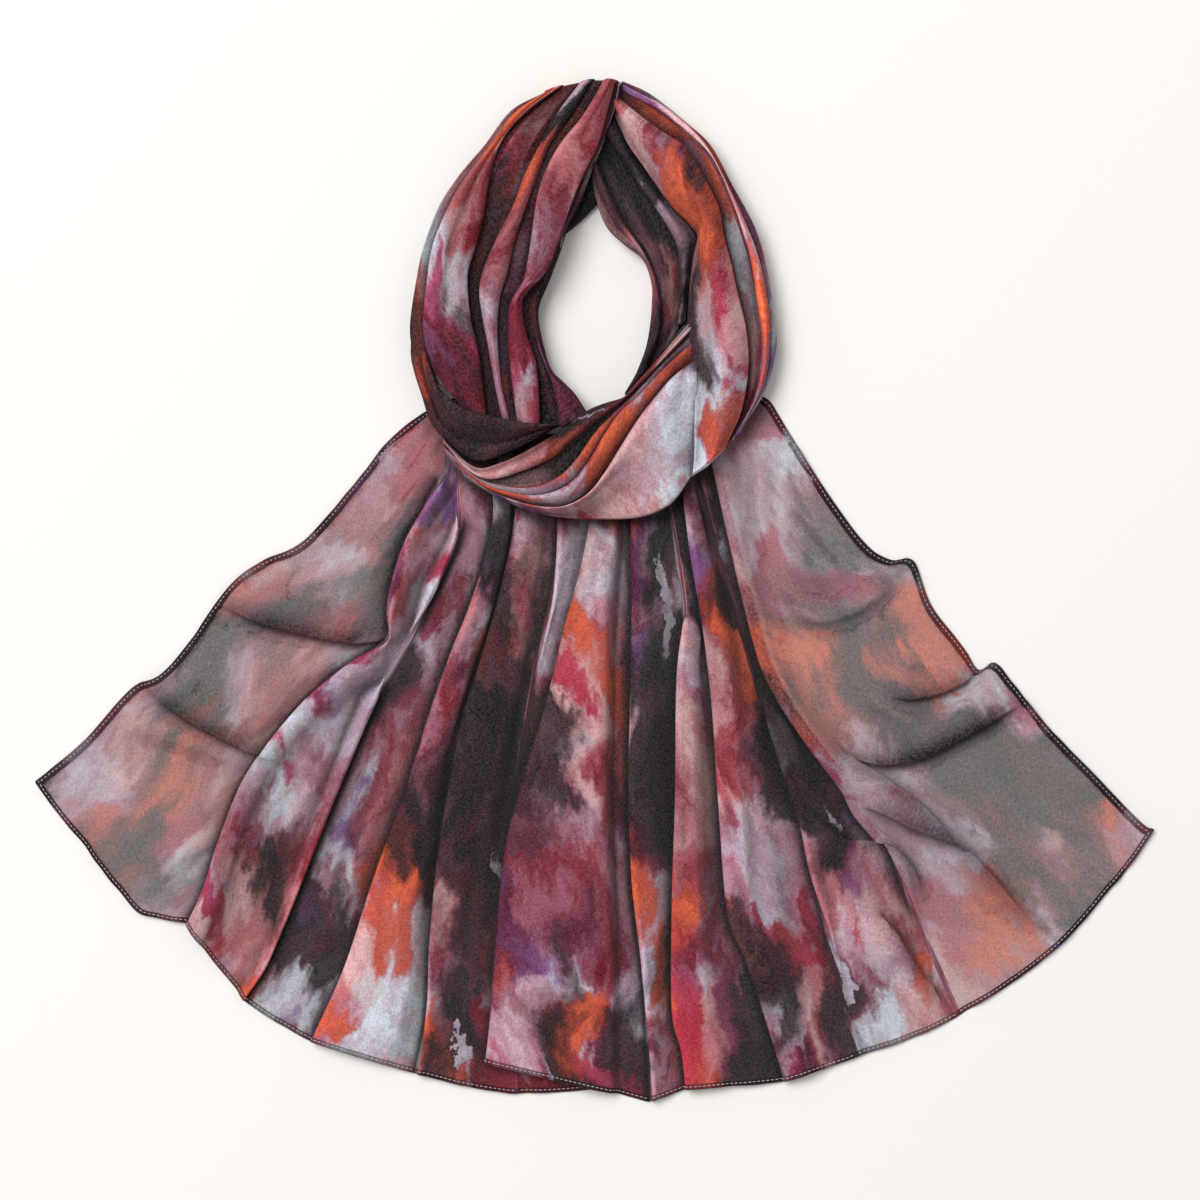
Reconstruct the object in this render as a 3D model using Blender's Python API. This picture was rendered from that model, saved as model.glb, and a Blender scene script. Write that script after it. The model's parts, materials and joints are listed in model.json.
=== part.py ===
"""Long chiffon scarf, wound once into an oval neck loop and laid flat on a table.

Both ends come out below the loop and fan out in knife pleats. All sizes are millimetres: X to the
right, Y from the hem toward the loop's crown, Z up from the table.
"""

from collections import namedtuple

import bmesh
import bpy
import numpy as np
from mathutils.geometry import tessellate_polygon

MM = 0.001

# ---- Driving sizes ----
WALL = 1.2  # one layer of cloth
LAYER_PITCH = 2.2  # from the middle of one layer to the next where the cloth is folded on itself
OVER_PITCH = 1.9  # the same where one end lies on the other
LOW = WALL / 2  # middle of a layer that lies on the table
FALL = 6.0  # how far a pleat takes to come down to the table beyond its hidden fold
FLAT_DEPTH = 0.8  # a pleat that hides less cloth than this lies flat
FOLD_STARTS = 5.0  # a pleat that hides less than this is still opening
RISE_SHARE = 0.34  # an opening pleat first rises, over this share of the way, then laps over
LEAST_DEPTH = 3.0  # cloth hidden by the shallowest pleat
ROLL_SHARE = 0.6  # the roll of a pleat's edge is at most this share of its depth
CREST_FLAT = 1.5  # how far a pleat's top stays level beyond its hidden fold
OPEN_BACK = 1.5  # where a pleat that lies flat starts, left of its edge
TURNED_ROLL = 3.0  # greatest radius of the edge that is turned under
PLEAT_SPACE = 8.0  # cloth that must stay flat between one hidden fold and the next pleat
FACING_SHARE = 0.6  # share of a panel that a pleat takes when the next one faces it
TAIL_ROWS = 17
OVERLAP_MARGIN = 4.0  # the upper end stays up this far past the lower end's hidden selvedge
PANEL_MIDS = 2  # places across the flat cloth between two pleats
SIDE_LAYERS = 3
CREASE = 2.2  # how far the creases between stacked layers go in at the loop's sides
SHOULDER = 2.6
FOOT = 1.5
NARROW = 16.0  # a strand narrower than this has shallower creases
UNDERLAP = 2.2  # how far the upper cloth laps over the lower at a fold of the loop
LAP_SHARE = 0.3  # the same, as the most of the room beside the fold
FOLD_ROOM = 8.0  # a fold with less room than this beside it is shallower
PUFF = 1.6  # how far a panel of the loop rises between its folds
PUFF_WIDTH = 10.0  # a narrower panel rises less
MOUTH_CLEAR = 10.6  # underside of the loop where the two ends come out beneath it
LEFT_ARM_LIFTS = (0.86, 0.92)  # the part of its length over which each arm leaves the table
RIGHT_ARM_LIFTS = (0.72, 0.78)
CROWN_TURNS = (85.0, 62.0, 32.0)  # degrees round the crown, where the left arm's top rolls down
CROWN_ROUND = 4.6
CURVE_STEPS = 12  # steps between two named places of a line
SWAG_STEPS = 24

# ---- Tables ----
# A pleat's kind says which way its folded edge faces: "left" has the cloth to its right on top.
# "edge" is a selvedge, "ease" a line that only guides the panel, "turned" an edge folded under,
# which lies over the left end as far as that end's hidden selvedge.
# depth and crest hold three values: at the loop, half way down and at the hem.
Pleat = namedtuple("Pleat", "name kind depth crest path")

TAIL_LEFT = [
    Pleat("selvedge", "edge", (0, 0, 0), (0, 0, 0),
          [(-81, 130), (-107, 119), (-133, 99), (-152, 75), (-188, 34), (-216, 20), (-238, 3),
           (-262, -31), (-280, -52), (-301, -63), (-331, -96), (-363, -123)]),
    Pleat("outer ease", "ease", (0, 0, 0), (1, 3, 0),
          [(-78, 125), (-110, 102), (-143, 60), (-178, 8), (-230, -37), (-289, -99), (-331, -164)]),
    Pleat("inner ease", "ease", (0, 0, 0), (1, 1, 0),
          [(-76, 120), (-102, 96), (-126, 47), (-162, -18), (-211, -80), (-256, -145), (-295, -208)]),
    Pleat("beige roll", "left", (2, 8, 12), (9.4, 11, 13),
          [(-73, 116), (-94, 99), (-97, 80), (-110, 57), (-125, 28), (-134, -5), (-136, -30),
           (-162, -48), (-191, -73), (-224, -115), (-240, -151), (-254, -193), (-264, -215)]),
    Pleat("beige back edge", "right", (2, 6, 4), (9, 8, 5),
          [(-65, 112), (-84, 89), (-88, 67), (-87, 40), (-97, 13), (-117, -28), (-141, -71),
           (-159, -112), (-177, -156), (-195, -202), (-212, -242), (-227, -265)]),
    Pleat("second pleat", "left", (4, 12, 46), (9.4, 8, 6),
          [(-57, 107), (-65, 76), (-66, 47), (-72, 19), (-82, -11), (-94, -41), (-107, -78),
           (-124, -132), (-143, -184), (-162, -242), (-184, -291)]),
    Pleat("third pleat", "left", (4, 26, 3), (9.4, 8, 4),
          [(-44, 104), (-49, 73), (-54, 34), (-63, -5), (-74, -44), (-86, -83), (-96, -135),
           (-102, -174), (-107, -226), (-109, -271), (-116, -312)]),
    Pleat("short pleat", "left", (6, 0, 0), (9.4, 5, 1),
          [(-27, 103), (-24, 47), (-28, 0), (-38, -45), (-46, -90), (-53, -135), (-57, -200),
           (-57, -260), (-50, -325)]),
    Pleat("hidden selvedge", "edge", (0, 0, 0), (0, 0, 0),
          [(7, 102), (9, 47), (4, -5), (2, -70), (2, -135), (4, -187), (6, -252), (6, -321)]),
]

TAIL_RIGHT = [
    Pleat("broad pleat", "turned", (0, 0, 0), (9.4, 8, 7),
          [(-3, 102), (-2, 60), (-8, 21), (-20, -24), (-32, -73), (-48, -125), (-57, -161),
           (-62, -200), (-65, -239), (-68, -278), (-71, -305)]),
    Pleat("centre pleat", "left", (3, 9, 3), (9.4, 8, 4),
          [(20, 103), (23, 47), (24, -5), (23, -70), (22, -122), (24, -187), (30, -239),
           (33, -278), (36, -332)]),
    Pleat("pale pleat", "left", (2, 9, 22), (8, 8, 6),
          [(37, 106), (48, 57), (54, 21), (58, -5), (57, -21), (53, -57), (52, -135), (50, -200),
           (50, -271), (56, -297), (59, -322)]),
    Pleat("mauve pleat", "left", (3, 12, 16), (9, 8, 6),
          [(48, 107), (57, 60), (62, 24), (67, -5), (71, -31), (76, -76), (80, -135), (86, -208),
           (98, -239), (111, -278), (123, -317)]),
    Pleat("strip", "left", (1, 8, 0), (7, 9, 1),
          [(59, 111), (70, 60), (82, 16), (91, -11), (104, -60), (121, -115), (132, -148),
           (139, -180), (150, -219), (161, -265), (171, -301)]),
    Pleat("side panel", "left", (5, 8, 0), (8.6, 13, 1),
          [(69, 114), (81, 60), (94, 2), (107, -47), (121, -75), (143, -107), (159, -128),
           (168, -145), (184, -165), (201, -195), (218, -232), (236, -275)]),
    Pleat("inner ease", "ease", (0, 0, 0), (1, 5, 0),
          [(76, 119), (98, 73), (117, 21), (143, -37), (176, -99), (199, -125), (231, -158),
           (270, -200), (301, -230)]),
    Pleat("outer ease", "ease", (0, 0, 0), (1, 1, 0),
          [(83, 123), (111, 80), (143, 21), (182, -31), (225, -96), (277, -141), (329, -199)]),
    Pleat("selvedge", "edge", (0, 0, 0), (0, 0, 0),
          [(91, 130), (111, 126), (121, 112), (137, 86), (156, 57), (176, 31), (192, 21),
           (207, 20), (218, -8), (238, -34), (249, -50), (260, -46), (273, -61), (294, -87),
           (323, -117), (354, -149), (363, -154)]),
]

# Soft cross folds where the sheer side panels sag: height and half width of each ridge.
Swag = namedtuple("Swag", "height reach path")
SWAGS = [
    Swag(5.0, 9.0, [(-242, -3), (-210, -14), (-178, -24), (-150, -30)]),
    Swag(6.0, 10.0, [(-287, -57), (-256, -75), (-230, -92), (-216, -103)]),
    Swag(7.0, 10.0, [(118, 12), (131, -14), (150, -22), (176, -12), (200, 14)]),
    Swag(8.0, 11.0, [(196, -62), (222, -70), (245, -62), (262, -52)]),
    Swag(6.0, 9.0, [(150, -112), (176, -104), (205, -128), (240, -160), (270, -196)]),
]

# A fold of the loop: kind "side" is an outline, "in" an edge that faces the first outline with the
# cloth beyond it on top, "out" the other way, "dip" a hollow. height: at start, middle and end.
Fold = namedtuple("Fold", "name kind step height path")

LEFT_ARM = [
    Fold("inner outline", "side", 0, (15, 17, 18),
         [(17.5, 326), (14.5, 312), (6, 288), (-1, 272), (-9, 252), (-17, 236), (-22, 221), (-30, 200),
          (-35, 188), (-36, 177), (-33, 161), (-28, 145), (-21, 137), (-13, 129), (-7, 120)]),
    Fold("pale panel back", "in", 6, (22, 26, 24),
         [(13, 327.6), (3, 290), (-7, 268), (-15, 249), (-22, 228), (-31, 206), (-43, 190),
          (-45, 178), (-42, 162), (-37, 148), (-33, 134), (-29, 110)]),
    Fold("pale panel", "out", 6, (25, 28, 24),
         [(5.5, 328.6), (-7, 307), (-22, 288), (-32, 269), (-37, 252), (-40, 232), (-46, 204),
          (-54, 188), (-56, 177), (-55, 158), (-53, 135), (-48, 112)]),
    Fold("red strip", "out", 5, (22, 26, 22),
         [(-9.5, 327.6), (-24, 308), (-35, 288), (-45, 268), (-52, 249), (-62, 229), (-71, 208),
          (-74, 193), (-72, 177), (-69, 161), (-65, 138), (-60, 114)]),
    Fold("grey panel", "in", 6, (20, 27, 26),
         [(-22, 325), (-39, 312), (-54, 298), (-63, 282), (-68, 262), (-71, 242), (-76, 222),
          (-81, 206), (-81, 190), (-79, 174), (-75, 158), (-72, 139), (-70, 117)]),
    Fold("red panel", "ease", 0, (18, 26, 24),
         [(-27.3, 323.6), (-47, 308), (-63, 287), (-76, 266), (-85, 245), (-93, 222), (-96, 197),
          (-96, 173), (-94, 155), (-86, 124)]),
    Fold("outer strip", "dip", 2, (17, 24, 22),
         [(-30.3, 323), (-51, 309), (-68, 286), (-83, 266), (-94, 247), (-104, 222), (-108, 197),
          (-110, 173), (-108, 157), (-101, 141)]),
    Fold("outer outline", "side", 0, (14, 18, 18),
         [(-33, 322.6), (-54, 311), (-72, 288), (-88, 269), (-100, 251), (-111, 223), (-116, 197),
          (-119, 173), (-118, 158), (-116, 146)]),
]

LEFT_BAND = [
    Fold("upper edge", "side", 0, (18, 26, 22),
         [(-103, 138), (-99, 131), (-93, 125), (-82, 118), (-68, 114), (-51, 111), (-36, 109),
          (-26, 108)]),
    Fold("crease", "dip", 3, (17, 22, 20),
         [(-109, 140), (-104, 123), (-97, 107), (-82, 98), (-68, 96), (-52, 98), (-38, 103),
          (-28, 106)]),
    Fold("lower edge", "side", 0, (16, 18, 17),
         [(-115, 142), (-111, 125), (-106, 110), (-98, 100), (-89, 91), (-74, 84), (-51, 92),
          (-37, 99), (-29, 104)]),
]

INNER_STRAND = [
    Fold("inner outline", "side", 0, (11, 13, 15),
         [(-1.8, 268), (1, 254), (8, 237), (20, 225), (32, 215), (37, 200), (37, 187), (36, 174),
          (33, 158), (27, 142), (22, 133)]),
    Fold("pink strip", "out", 4, (16, 17, 17),
         [(2, 276), (7, 264), (13, 250), (22, 234), (32, 219), (39, 204), (42, 190), (43, 174),
          (40, 161), (36, 149)]),
    Fold("dark hollow", "dip", 3, (15, 15, 16),
         [(6.4, 286), (15, 272), (24, 256), (33, 239), (42, 222), (47, 205), (51, 190), (51, 176),
          (47, 162)]),
    Fold("outer side", "side", 0, (13, 13, 14),
         [(12.2, 302.5), (20.4, 287.2), (29.5, 273.5), (38.5, 260.5), (49.5, 245.5), (60, 234.5),
          (63.6, 227), (61, 214), (59, 197), (57.8, 180)]),
]

RIGHT_ARM = [
    Fold("panel edge", "side", 0, (18, 22, 26),
         [(14, 305), (22, 288), (31, 275), (40, 262), (51, 247), (62, 236), (66, 229), (63, 215),
          (61, 197), (60, 180), (60, 164), (62, 150), (64, 132), (64, 106), (64, 89), (63, 77)]),
    Fold("panel ease", "ease", 0, (24, 31, 32),
         [(16, 312), (38, 288), (58, 262), (71, 240), (74, 215), (77, 185), (79, 158), (80, 130),
          (78, 104), (74, 84)]),
    Fold("panel far edge", "out", 7, (20, 29, 24),
         [(18, 317.5), (39, 300), (59, 286), (70, 268), (80, 247), (83, 229), (88, 210), (92, 191),
          (97, 171), (99, 151), (98, 135), (94, 115), (85, 95)]),
    Fold("outer strip", "in", 5, (17, 24, 20),
         [(20.5, 323), (41, 311), (60, 296), (76, 279), (88, 252), (96, 229), (101, 210), (104, 190),
          (107, 171), (108, 154), (106, 137), (101, 120), (91, 102)]),
    Fold("outer outline", "side", 0, (13, 18, 16),
         [(23, 329.5), (33, 325), (43, 318), (61, 303), (76, 288), (89, 263), (104, 234), (111, 210),
          (117, 176), (117, 153), (111, 131), (96, 107)]),
]

FRONT_WRAP = [
    Fold("upper edge", "side", 0, (24, 28, 22),
         [(58.8, 171), (43, 153), (26, 134), (19, 126), (7, 122), (-5, 117), (-19, 106), (-35, 96),
          (-49, 88), (-61, 83), (-74, 80), (-86, 87), (-96, 98)]),
    Fold("orange band", "out", 6, (27, 34, 24),
         [(59, 165), (43, 148), (27, 131), (18, 122.5), (4, 112), (-13, 98), (-27, 86),
          (-48, 77), (-67, 72.5), (-81, 78.5), (-95.5, 95)]),
    Fold("beige strip", "in", 5, (28, 32, 23),
         [(59.8, 158), (44, 143), (28, 126), (16, 115), (5, 99), (-5, 82), (-18, 68.5), (-36, 62.5),
          (-57, 65), (-75, 72.5), (-95, 91.5)]),
    Fold("broad panel", "in", 6, (31, 34, 22),
         [(61.4, 147), (50, 138), (38, 124), (28, 111), (16, 92), (6, 76), (-4, 63.5), (-19, 55.5),
          (-37, 55.5), (-57, 61), (-74, 69.5), (-94, 88.5)]),
    Fold("lower edge", "side", 0, (22, 22, 18),
         [(62.5, 75), (54, 62), (45, 54), (28, 48), (4, 47), (-20, 48), (-37, 51), (-54, 57),
          (-69, 65), (-84, 75), (-93, 86)]),
]


def clear_scene():
    for thing in list(bpy.data.objects):
        bpy.data.objects.remove(thing, do_unlink=True)


def smooth_path(points, count):
    """A smooth plan curve through the points, with count places evenly spaced along it."""
    knots = np.array(points, dtype=float)
    padded = np.vstack([2 * knots[0] - knots[1], knots, 2 * knots[-1] - knots[-2]])
    fine = []
    steps = np.linspace(0.0, 1.0, CURVE_STEPS, endpoint=False)
    for before, start, end, after in zip(padded, padded[1:], padded[2:], padded[3:]):
        for t in steps:
            fine.append(0.5 * (2 * start + (end - before) * t
                               + (2 * before - 5 * start + 4 * end - after) * t ** 2
                               + (3 * start - before - 3 * end + after) * t ** 3))
    fine = np.array(fine + [knots[-1]])
    along = np.concatenate([[0.0], np.cumsum(np.linalg.norm(np.diff(fine, axis=0), axis=1))])
    wanted = np.linspace(0.0, along[-1], count)
    return np.column_stack([np.interp(wanted, along, fine[:, i]) for i in range(2)])


def ramp(x, low, high):
    """0 below low, 1 above high and smooth between."""
    t = np.clip((x - low) / (high - low), 0.0, 1.0)
    return t * t * (3 - 2 * t)


def three_point(values, v):
    """Eases from the first value through the second at v = 0.5 to the third."""
    start, middle, end = values
    if v < 0.5:
        return start + (middle - start) * ramp(v, 0.0, 0.5)
    return middle + (end - middle) * ramp(v, 0.5, 1.0)


SWAG_LINES = [smooth_path(swag.path, SWAG_STEPS) for swag in SWAGS]


def swag_height(x, y):
    """Height that the soft cross folds add at a place on a side panel."""
    total = 0.0
    for swag, line in zip(SWAGS, SWAG_LINES):
        away = np.min(np.hypot(line[:, 0] - x, line[:, 1] - y))
        total += swag.height * np.exp(-(away / swag.reach) ** 2)
    return total


def pleat_points(depth, crest, opening):
    """One pleat that faces left, as (distance right of its edge, height) along the cloth.

    The cloth passes under the edge to the hidden fold, comes back, and turns over the edge. While
    opening is under 1 the same places are spread out flat, first without height.
    """
    middle = LOW + LAYER_PITCH
    half_turn = LAYER_PITCH / 2
    radius = max(half_turn, min((crest - middle) / 2, ROLL_SHARE * depth))
    top = middle + 2 * radius
    folded = np.array([
        (0.0, LOW), (depth - half_turn, LOW), (depth, LOW + half_turn),
        (depth - half_turn, middle), (radius, middle), (0.0, middle + radius), (radius, top),
        (max(depth, radius) + CREST_FLAT, top), (max(depth, radius) + FALL, LOW)])
    spread = np.linspace(-OPEN_BACK, FALL - OPEN_BACK, len(folded))
    flat = np.column_stack([spread, np.full(len(folded), LOW)])
    rise = min(1.0, opening / RISE_SHARE)
    slide = max(0.0, (opening - RISE_SHARE) / (1 - RISE_SHARE))
    across = flat[:, 0] + (folded[:, 0] - flat[:, 0]) * slide
    height = flat[:, 1] + (folded[:, 1] - flat[:, 1]) * rise
    return list(zip(across, height))


def turned_points(cover, crest):
    """A folded-under edge that lies over another layer as far as cover."""
    middle = LOW + OVER_PITCH
    radius = max(LAYER_PITCH / 2, min((crest - middle) / 2, TURNED_ROLL))
    top = middle + 2 * radius
    return [(0.5 * cover, middle), (radius, middle), (0.0, middle + radius), (radius, top),
            (0.5 * cover, top), (cover, top), (cover + FALL, LOW)]


def tail_section(rows, places, v, covered=None):
    """The cloth's path across one end of the scarf: a list of (x, y, z, direction).

    covered is the place of a hidden selvedge that the first pleat has to reach over.
    """
    steps = np.diff(places, axis=0)
    widths = np.linalg.norm(steps, axis=1)
    ways = steps / widths[:, None]
    groups = []
    for k, row in enumerate(rows):
        here = places[k]
        way = ways[min(k, len(ways) - 1)]
        if row.kind in ("edge", "ease"):
            points = [(0.0, LOW + three_point(row.crest, v))]
            side = 1.0
        elif row.kind == "turned":
            cover = np.linalg.norm(covered - here) + OVERLAP_MARGIN
            points = turned_points(cover, three_point(row.crest, v))
            side = 1.0
        else:
            side = 1.0 if row.kind == "left" else -1.0
            room = widths[k] if side > 0 else widths[k - 1]
            if side < 0:
                way = ways[k - 1]
                room *= 1 - FACING_SHARE
            elif rows[k + 1].kind == "right":
                room *= FACING_SHARE
            depth = min(three_point(row.depth, v), max(0.0, room - PLEAT_SPACE))
            opening = ramp(depth, FLAT_DEPTH, FOLD_STARTS)
            points = pleat_points(max(depth, LEAST_DEPTH), three_point(row.crest, v), opening)
            if side < 0:
                points = points[::-1]
        groups.append([(*(here + way * side * across), height, way) for across, height in points])
    path = []
    for k, group in enumerate(groups):
        path += group
        if k + 1 < len(groups):
            x0, y0, z0, _ = group[-1]
            x1, y1, z1, _ = groups[k + 1][0]
            for i in range(PANEL_MIDS):
                f = (i + 1) / (PANEL_MIDS + 1)
                x, y = x0 + (x1 - x0) * f, y0 + (y1 - y0) * f
                z = z0 + (z1 - z0) * f + swag_height(x, y)
                path.append((x, y, z, ways[k]))
    return path


def wall_sides(path):
    """The two faces of the cloth, half a wall to each side of its path."""
    middle = np.array([(x, y, z) for x, y, z, _ in path])
    ways = np.array([way for _, _, _, way in path])
    ahead = np.gradient(middle, axis=0)
    run = np.sum(ahead[:, :2] * ways, axis=1)
    rise = ahead[:, 2]
    length = np.hypot(run, rise)
    run, rise = run / length, rise / length
    normal = np.column_stack([-rise[:, None] * ways, run])
    return middle + normal * WALL / 2, middle - normal * WALL / 2


def build_tail(name, rows):
    """One end of the scarf: a wall of cloth through its pleats, closed all round."""
    lines = [smooth_path(row.path, TAIL_ROWS) for row in rows]
    hidden = smooth_path(TAIL_LEFT[-1].path, TAIL_ROWS)
    mesh = bmesh.new()
    faces_up, faces_down = [], []
    for s in range(TAIL_ROWS):
        places = np.array([line[s] for line in lines])
        path = tail_section(rows, places, s / (TAIL_ROWS - 1), hidden[s])
        upper, lower = wall_sides(path)
        lower[:, 2] = np.maximum(lower[:, 2], 0.0)
        faces_up.append([mesh.verts.new(point * MM) for point in upper])
        faces_down.append([mesh.verts.new(point * MM) for point in lower])
    count = len(faces_up[0])
    for s in range(TAIL_ROWS - 1):
        for i in range(count - 1):
            for sheet in (faces_up, faces_down):
                mesh.faces.new((sheet[s][i], sheet[s][i + 1], sheet[s + 1][i + 1], sheet[s + 1][i]))
        for i in (0, count - 1):
            mesh.faces.new((faces_up[s][i], faces_down[s][i], faces_down[s + 1][i],
                            faces_up[s + 1][i]))
    for s in (0, TAIL_ROWS - 1):
        for i in range(count - 1):
            mesh.faces.new((faces_up[s][i], faces_up[s][i + 1], faces_down[s][i + 1],
                            faces_down[s][i]))
    return finish(name, mesh)


def side_points(place, way, width, base, height):
    """Stacked rounded layers up one side of the loop, from the table to the shoulder."""
    inset = min(1.0, width / NARROW)
    points = [(*(place + way * FOOT * inset), base)]
    layer = (height - base) / SIDE_LAYERS
    for j in range(SIDE_LAYERS):
        points.append((*place, base + (j + 0.5) * layer))
        if j < SIDE_LAYERS - 1:
            points.append((*(place + way * CREASE * inset), base + (j + 1) * layer))
    points.append((*(place + way * SHOULDER * inset), height))
    return points


def fold_points(row, place, way_in, way_out, room, height):
    """A fold on the loop's top: the cloth on its high side laps over the low side."""
    reach = min(UNDERLAP, LAP_SHARE * room)
    step = row.step * min(1.0, room / FOLD_ROOM)
    if row.kind == "dip":
        return [(*place, height - step)]
    if row.kind == "ease":
        return [(*place, height)]
    if row.kind == "in":
        return [(*(place + way_out * 0.5 * reach), height - step),
                (*place, height - 0.5 * step),
                (*(place + way_out * reach), height)]
    return [(*(place - way_in * reach), height),
            (*place, height - 0.5 * step),
            (*(place - way_in * 0.5 * reach), height - step)]


def loop_section(rows, places, v, base):
    """A closed section across a strand of the loop: flat below, layered sides, folds on top."""
    steps = np.diff(places, axis=0)
    widths = np.linalg.norm(steps, axis=1)
    ways = steps / widths[:, None]
    heights = [three_point(row.height, v) for row in rows]
    across = widths.sum()
    groups = [side_points(places[0], ways[0], across, base, heights[0])]
    for k in range(1, len(rows) - 1):
        room = min(widths[k - 1], widths[k])
        groups.append(fold_points(rows[k], places[k], ways[k - 1], ways[k], room, heights[k]))
    groups.append(side_points(places[-1], -ways[-1], across, base, heights[-1])[::-1])
    section = []
    for k, group in enumerate(groups):
        section += group
        if k + 1 < len(groups):
            start, end = np.array(group[-1]), np.array(groups[k + 1][0])
            middle = (start + end) / 2
            middle[2] += PUFF * min(1.0, widths[k] / PUFF_WIDTH)
            section.append(tuple(middle))
    return section


def crown_sections(rows, lines):
    """Sections past a strand's start, where its top rolls down to the table."""
    back = np.mean([line[0] - line[1] for line in lines], axis=0)
    back /= np.linalg.norm(back)
    sections = []
    for degrees in CROWN_TURNS:
        turn = np.radians(degrees)
        places = np.array([line[0] for line in lines]) + back * CROWN_ROUND * np.sin(turn)
        section = np.array(loop_section(rows, places, 0.0, 0.0))
        section[:, 2] *= np.cos(turn)
        sections.append(section)
    return sections


def build_strand(name, rows, stations, raised, rolled=False):
    """A strand of the loop as one rounded solid. raised(v) is its underside's height."""
    lines = [smooth_path(row.path, stations) for row in rows]
    mesh = bmesh.new()
    sections = crown_sections(rows, lines) if rolled else []
    for s in range(stations):
        v = s / (stations - 1)
        places = np.array([line[s] for line in lines])
        sections.append(loop_section(rows, places, v, raised(v)))
    rings = [[mesh.verts.new(np.array(point) * MM) for point in section] for section in sections]
    count = len(rings[0])
    stations = len(rings)
    for s in range(stations - 1):
        for i in range(count):
            j = (i + 1) % count
            mesh.faces.new((rings[s][i], rings[s][j], rings[s + 1][j], rings[s + 1][i]))
    for s in (0, stations - 1):
        flat = np.array(sections[s])
        way = flat[-1, :2] - flat[0, :2]
        way /= np.linalg.norm(way)
        outline = [((x - flat[0, 0]) * way[0] + (y - flat[0, 1]) * way[1], z, 0.0)
                   for x, y, z in flat]
        for a, b, c in tessellate_polygon([outline]):
            mesh.faces.new((rings[s][a], rings[s][b], rings[s][c]))
    return finish(name, mesh)


def finish(name, mesh):
    bmesh.ops.recalc_face_normals(mesh, faces=mesh.faces)
    data = bpy.data.meshes.new(name)
    mesh.to_mesh(data)
    mesh.free()
    thing = bpy.data.objects.new(name, data)
    bpy.context.scene.collection.objects.link(thing)
    return thing


def paint(thing, colour):
    material = bpy.data.materials.new(thing.name + "_cloth")
    material.use_nodes = True
    shader = material.node_tree.nodes["Principled BSDF"]
    shader.inputs["Base Color"].default_value = (*colour, 1.0)
    shader.inputs["Roughness"].default_value = 0.85
    thing.data.materials.append(material)


def on_table(_v):
    return 0.0


def over_ends(_v):
    return MOUTH_CLEAR


def left_arm_base(v):
    return MOUTH_CLEAR * ramp(v, *LEFT_ARM_LIFTS)


def right_arm_base(v):
    return MOUTH_CLEAR * ramp(v, *RIGHT_ARM_LIFTS)


clear_scene()
paint(build_tail("tail_left", TAIL_LEFT), (0.36, 0.20, 0.20))
paint(build_tail("tail_right", TAIL_RIGHT), (0.42, 0.26, 0.25))
paint(build_strand("loop_left_arm", LEFT_ARM, 22, left_arm_base, rolled=True), (0.30, 0.10, 0.13))
paint(build_strand("loop_left_band", LEFT_BAND, 12, over_ends), (0.04, 0.04, 0.05))
paint(build_strand("loop_inner_strand", INNER_STRAND, 14, on_table), (0.10, 0.07, 0.09))
paint(build_strand("loop_right_arm", RIGHT_ARM, 24, right_arm_base), (0.40, 0.33, 0.36))
paint(build_strand("loop_front_wrap", FRONT_WRAP, 20, over_ends), (0.50, 0.20, 0.12))
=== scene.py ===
"""Looks of the chiffon scarf: sheer printed cloth, wound into a neck loop and laid flat.

Sizes in the tables are millimetres in the part's own frame: X to the right, Y toward the loop's
crown, Z up from the table. v is the share of the way along an end or a strand.
"""

import json
import math
from collections import namedtuple

import bpy
import numpy as np
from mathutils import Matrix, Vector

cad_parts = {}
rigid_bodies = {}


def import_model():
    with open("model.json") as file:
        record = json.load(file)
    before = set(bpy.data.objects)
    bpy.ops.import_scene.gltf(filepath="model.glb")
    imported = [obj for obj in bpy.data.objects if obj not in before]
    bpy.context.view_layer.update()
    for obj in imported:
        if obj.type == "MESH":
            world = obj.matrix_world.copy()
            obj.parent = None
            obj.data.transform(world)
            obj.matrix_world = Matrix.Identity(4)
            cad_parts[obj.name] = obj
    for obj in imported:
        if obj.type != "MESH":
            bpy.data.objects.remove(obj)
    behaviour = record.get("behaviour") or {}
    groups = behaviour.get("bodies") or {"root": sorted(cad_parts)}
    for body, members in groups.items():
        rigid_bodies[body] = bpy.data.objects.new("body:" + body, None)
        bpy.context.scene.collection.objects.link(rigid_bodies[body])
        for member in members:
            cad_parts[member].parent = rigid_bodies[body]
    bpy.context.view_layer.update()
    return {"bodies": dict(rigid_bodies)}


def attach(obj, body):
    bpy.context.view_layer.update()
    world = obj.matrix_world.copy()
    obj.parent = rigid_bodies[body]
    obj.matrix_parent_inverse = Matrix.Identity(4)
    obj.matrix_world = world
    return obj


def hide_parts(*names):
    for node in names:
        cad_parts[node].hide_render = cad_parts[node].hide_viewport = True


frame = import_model()

MM = 0.001

# ---- Sizes shared with the solids ----
WALL = 1.2
LOW = WALL / 2  # the middle of a wall that lies on the table
LAYER_PITCH = 2.2  # from one layer of a pleat to the next
OVER_PITCH = 1.9  # the same where a turned edge lies over other cloth
FALL = 6.0  # how far beyond its fold the cloth comes down
FLAT_DEPTH = 0.8  # a pleat this shallow lies flat
FOLD_STARTS = 5.0  # a pleat this deep is folded in full
RISE_SHARE = 0.34  # share of its opening over which a pleat only rises, before it slides over
LEAST_DEPTH = 3.0
ROLL_SHARE = 0.6  # largest radius of a pleat's rolled edge, as a share of its depth
CREST_FLAT, CREST_DROP = 1.5, 0.25  # how far a crest runs on, and how soon it then falls
OPEN_BACK = 1.5
TURNED_ROLL = 3.0  # largest radius of a turned edge
PLEAT_SPACE = 8.0  # cloth that a pleat leaves clear before the next one
FACING_SHARE = 0.6  # room that the first of two facing pleats has
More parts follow.
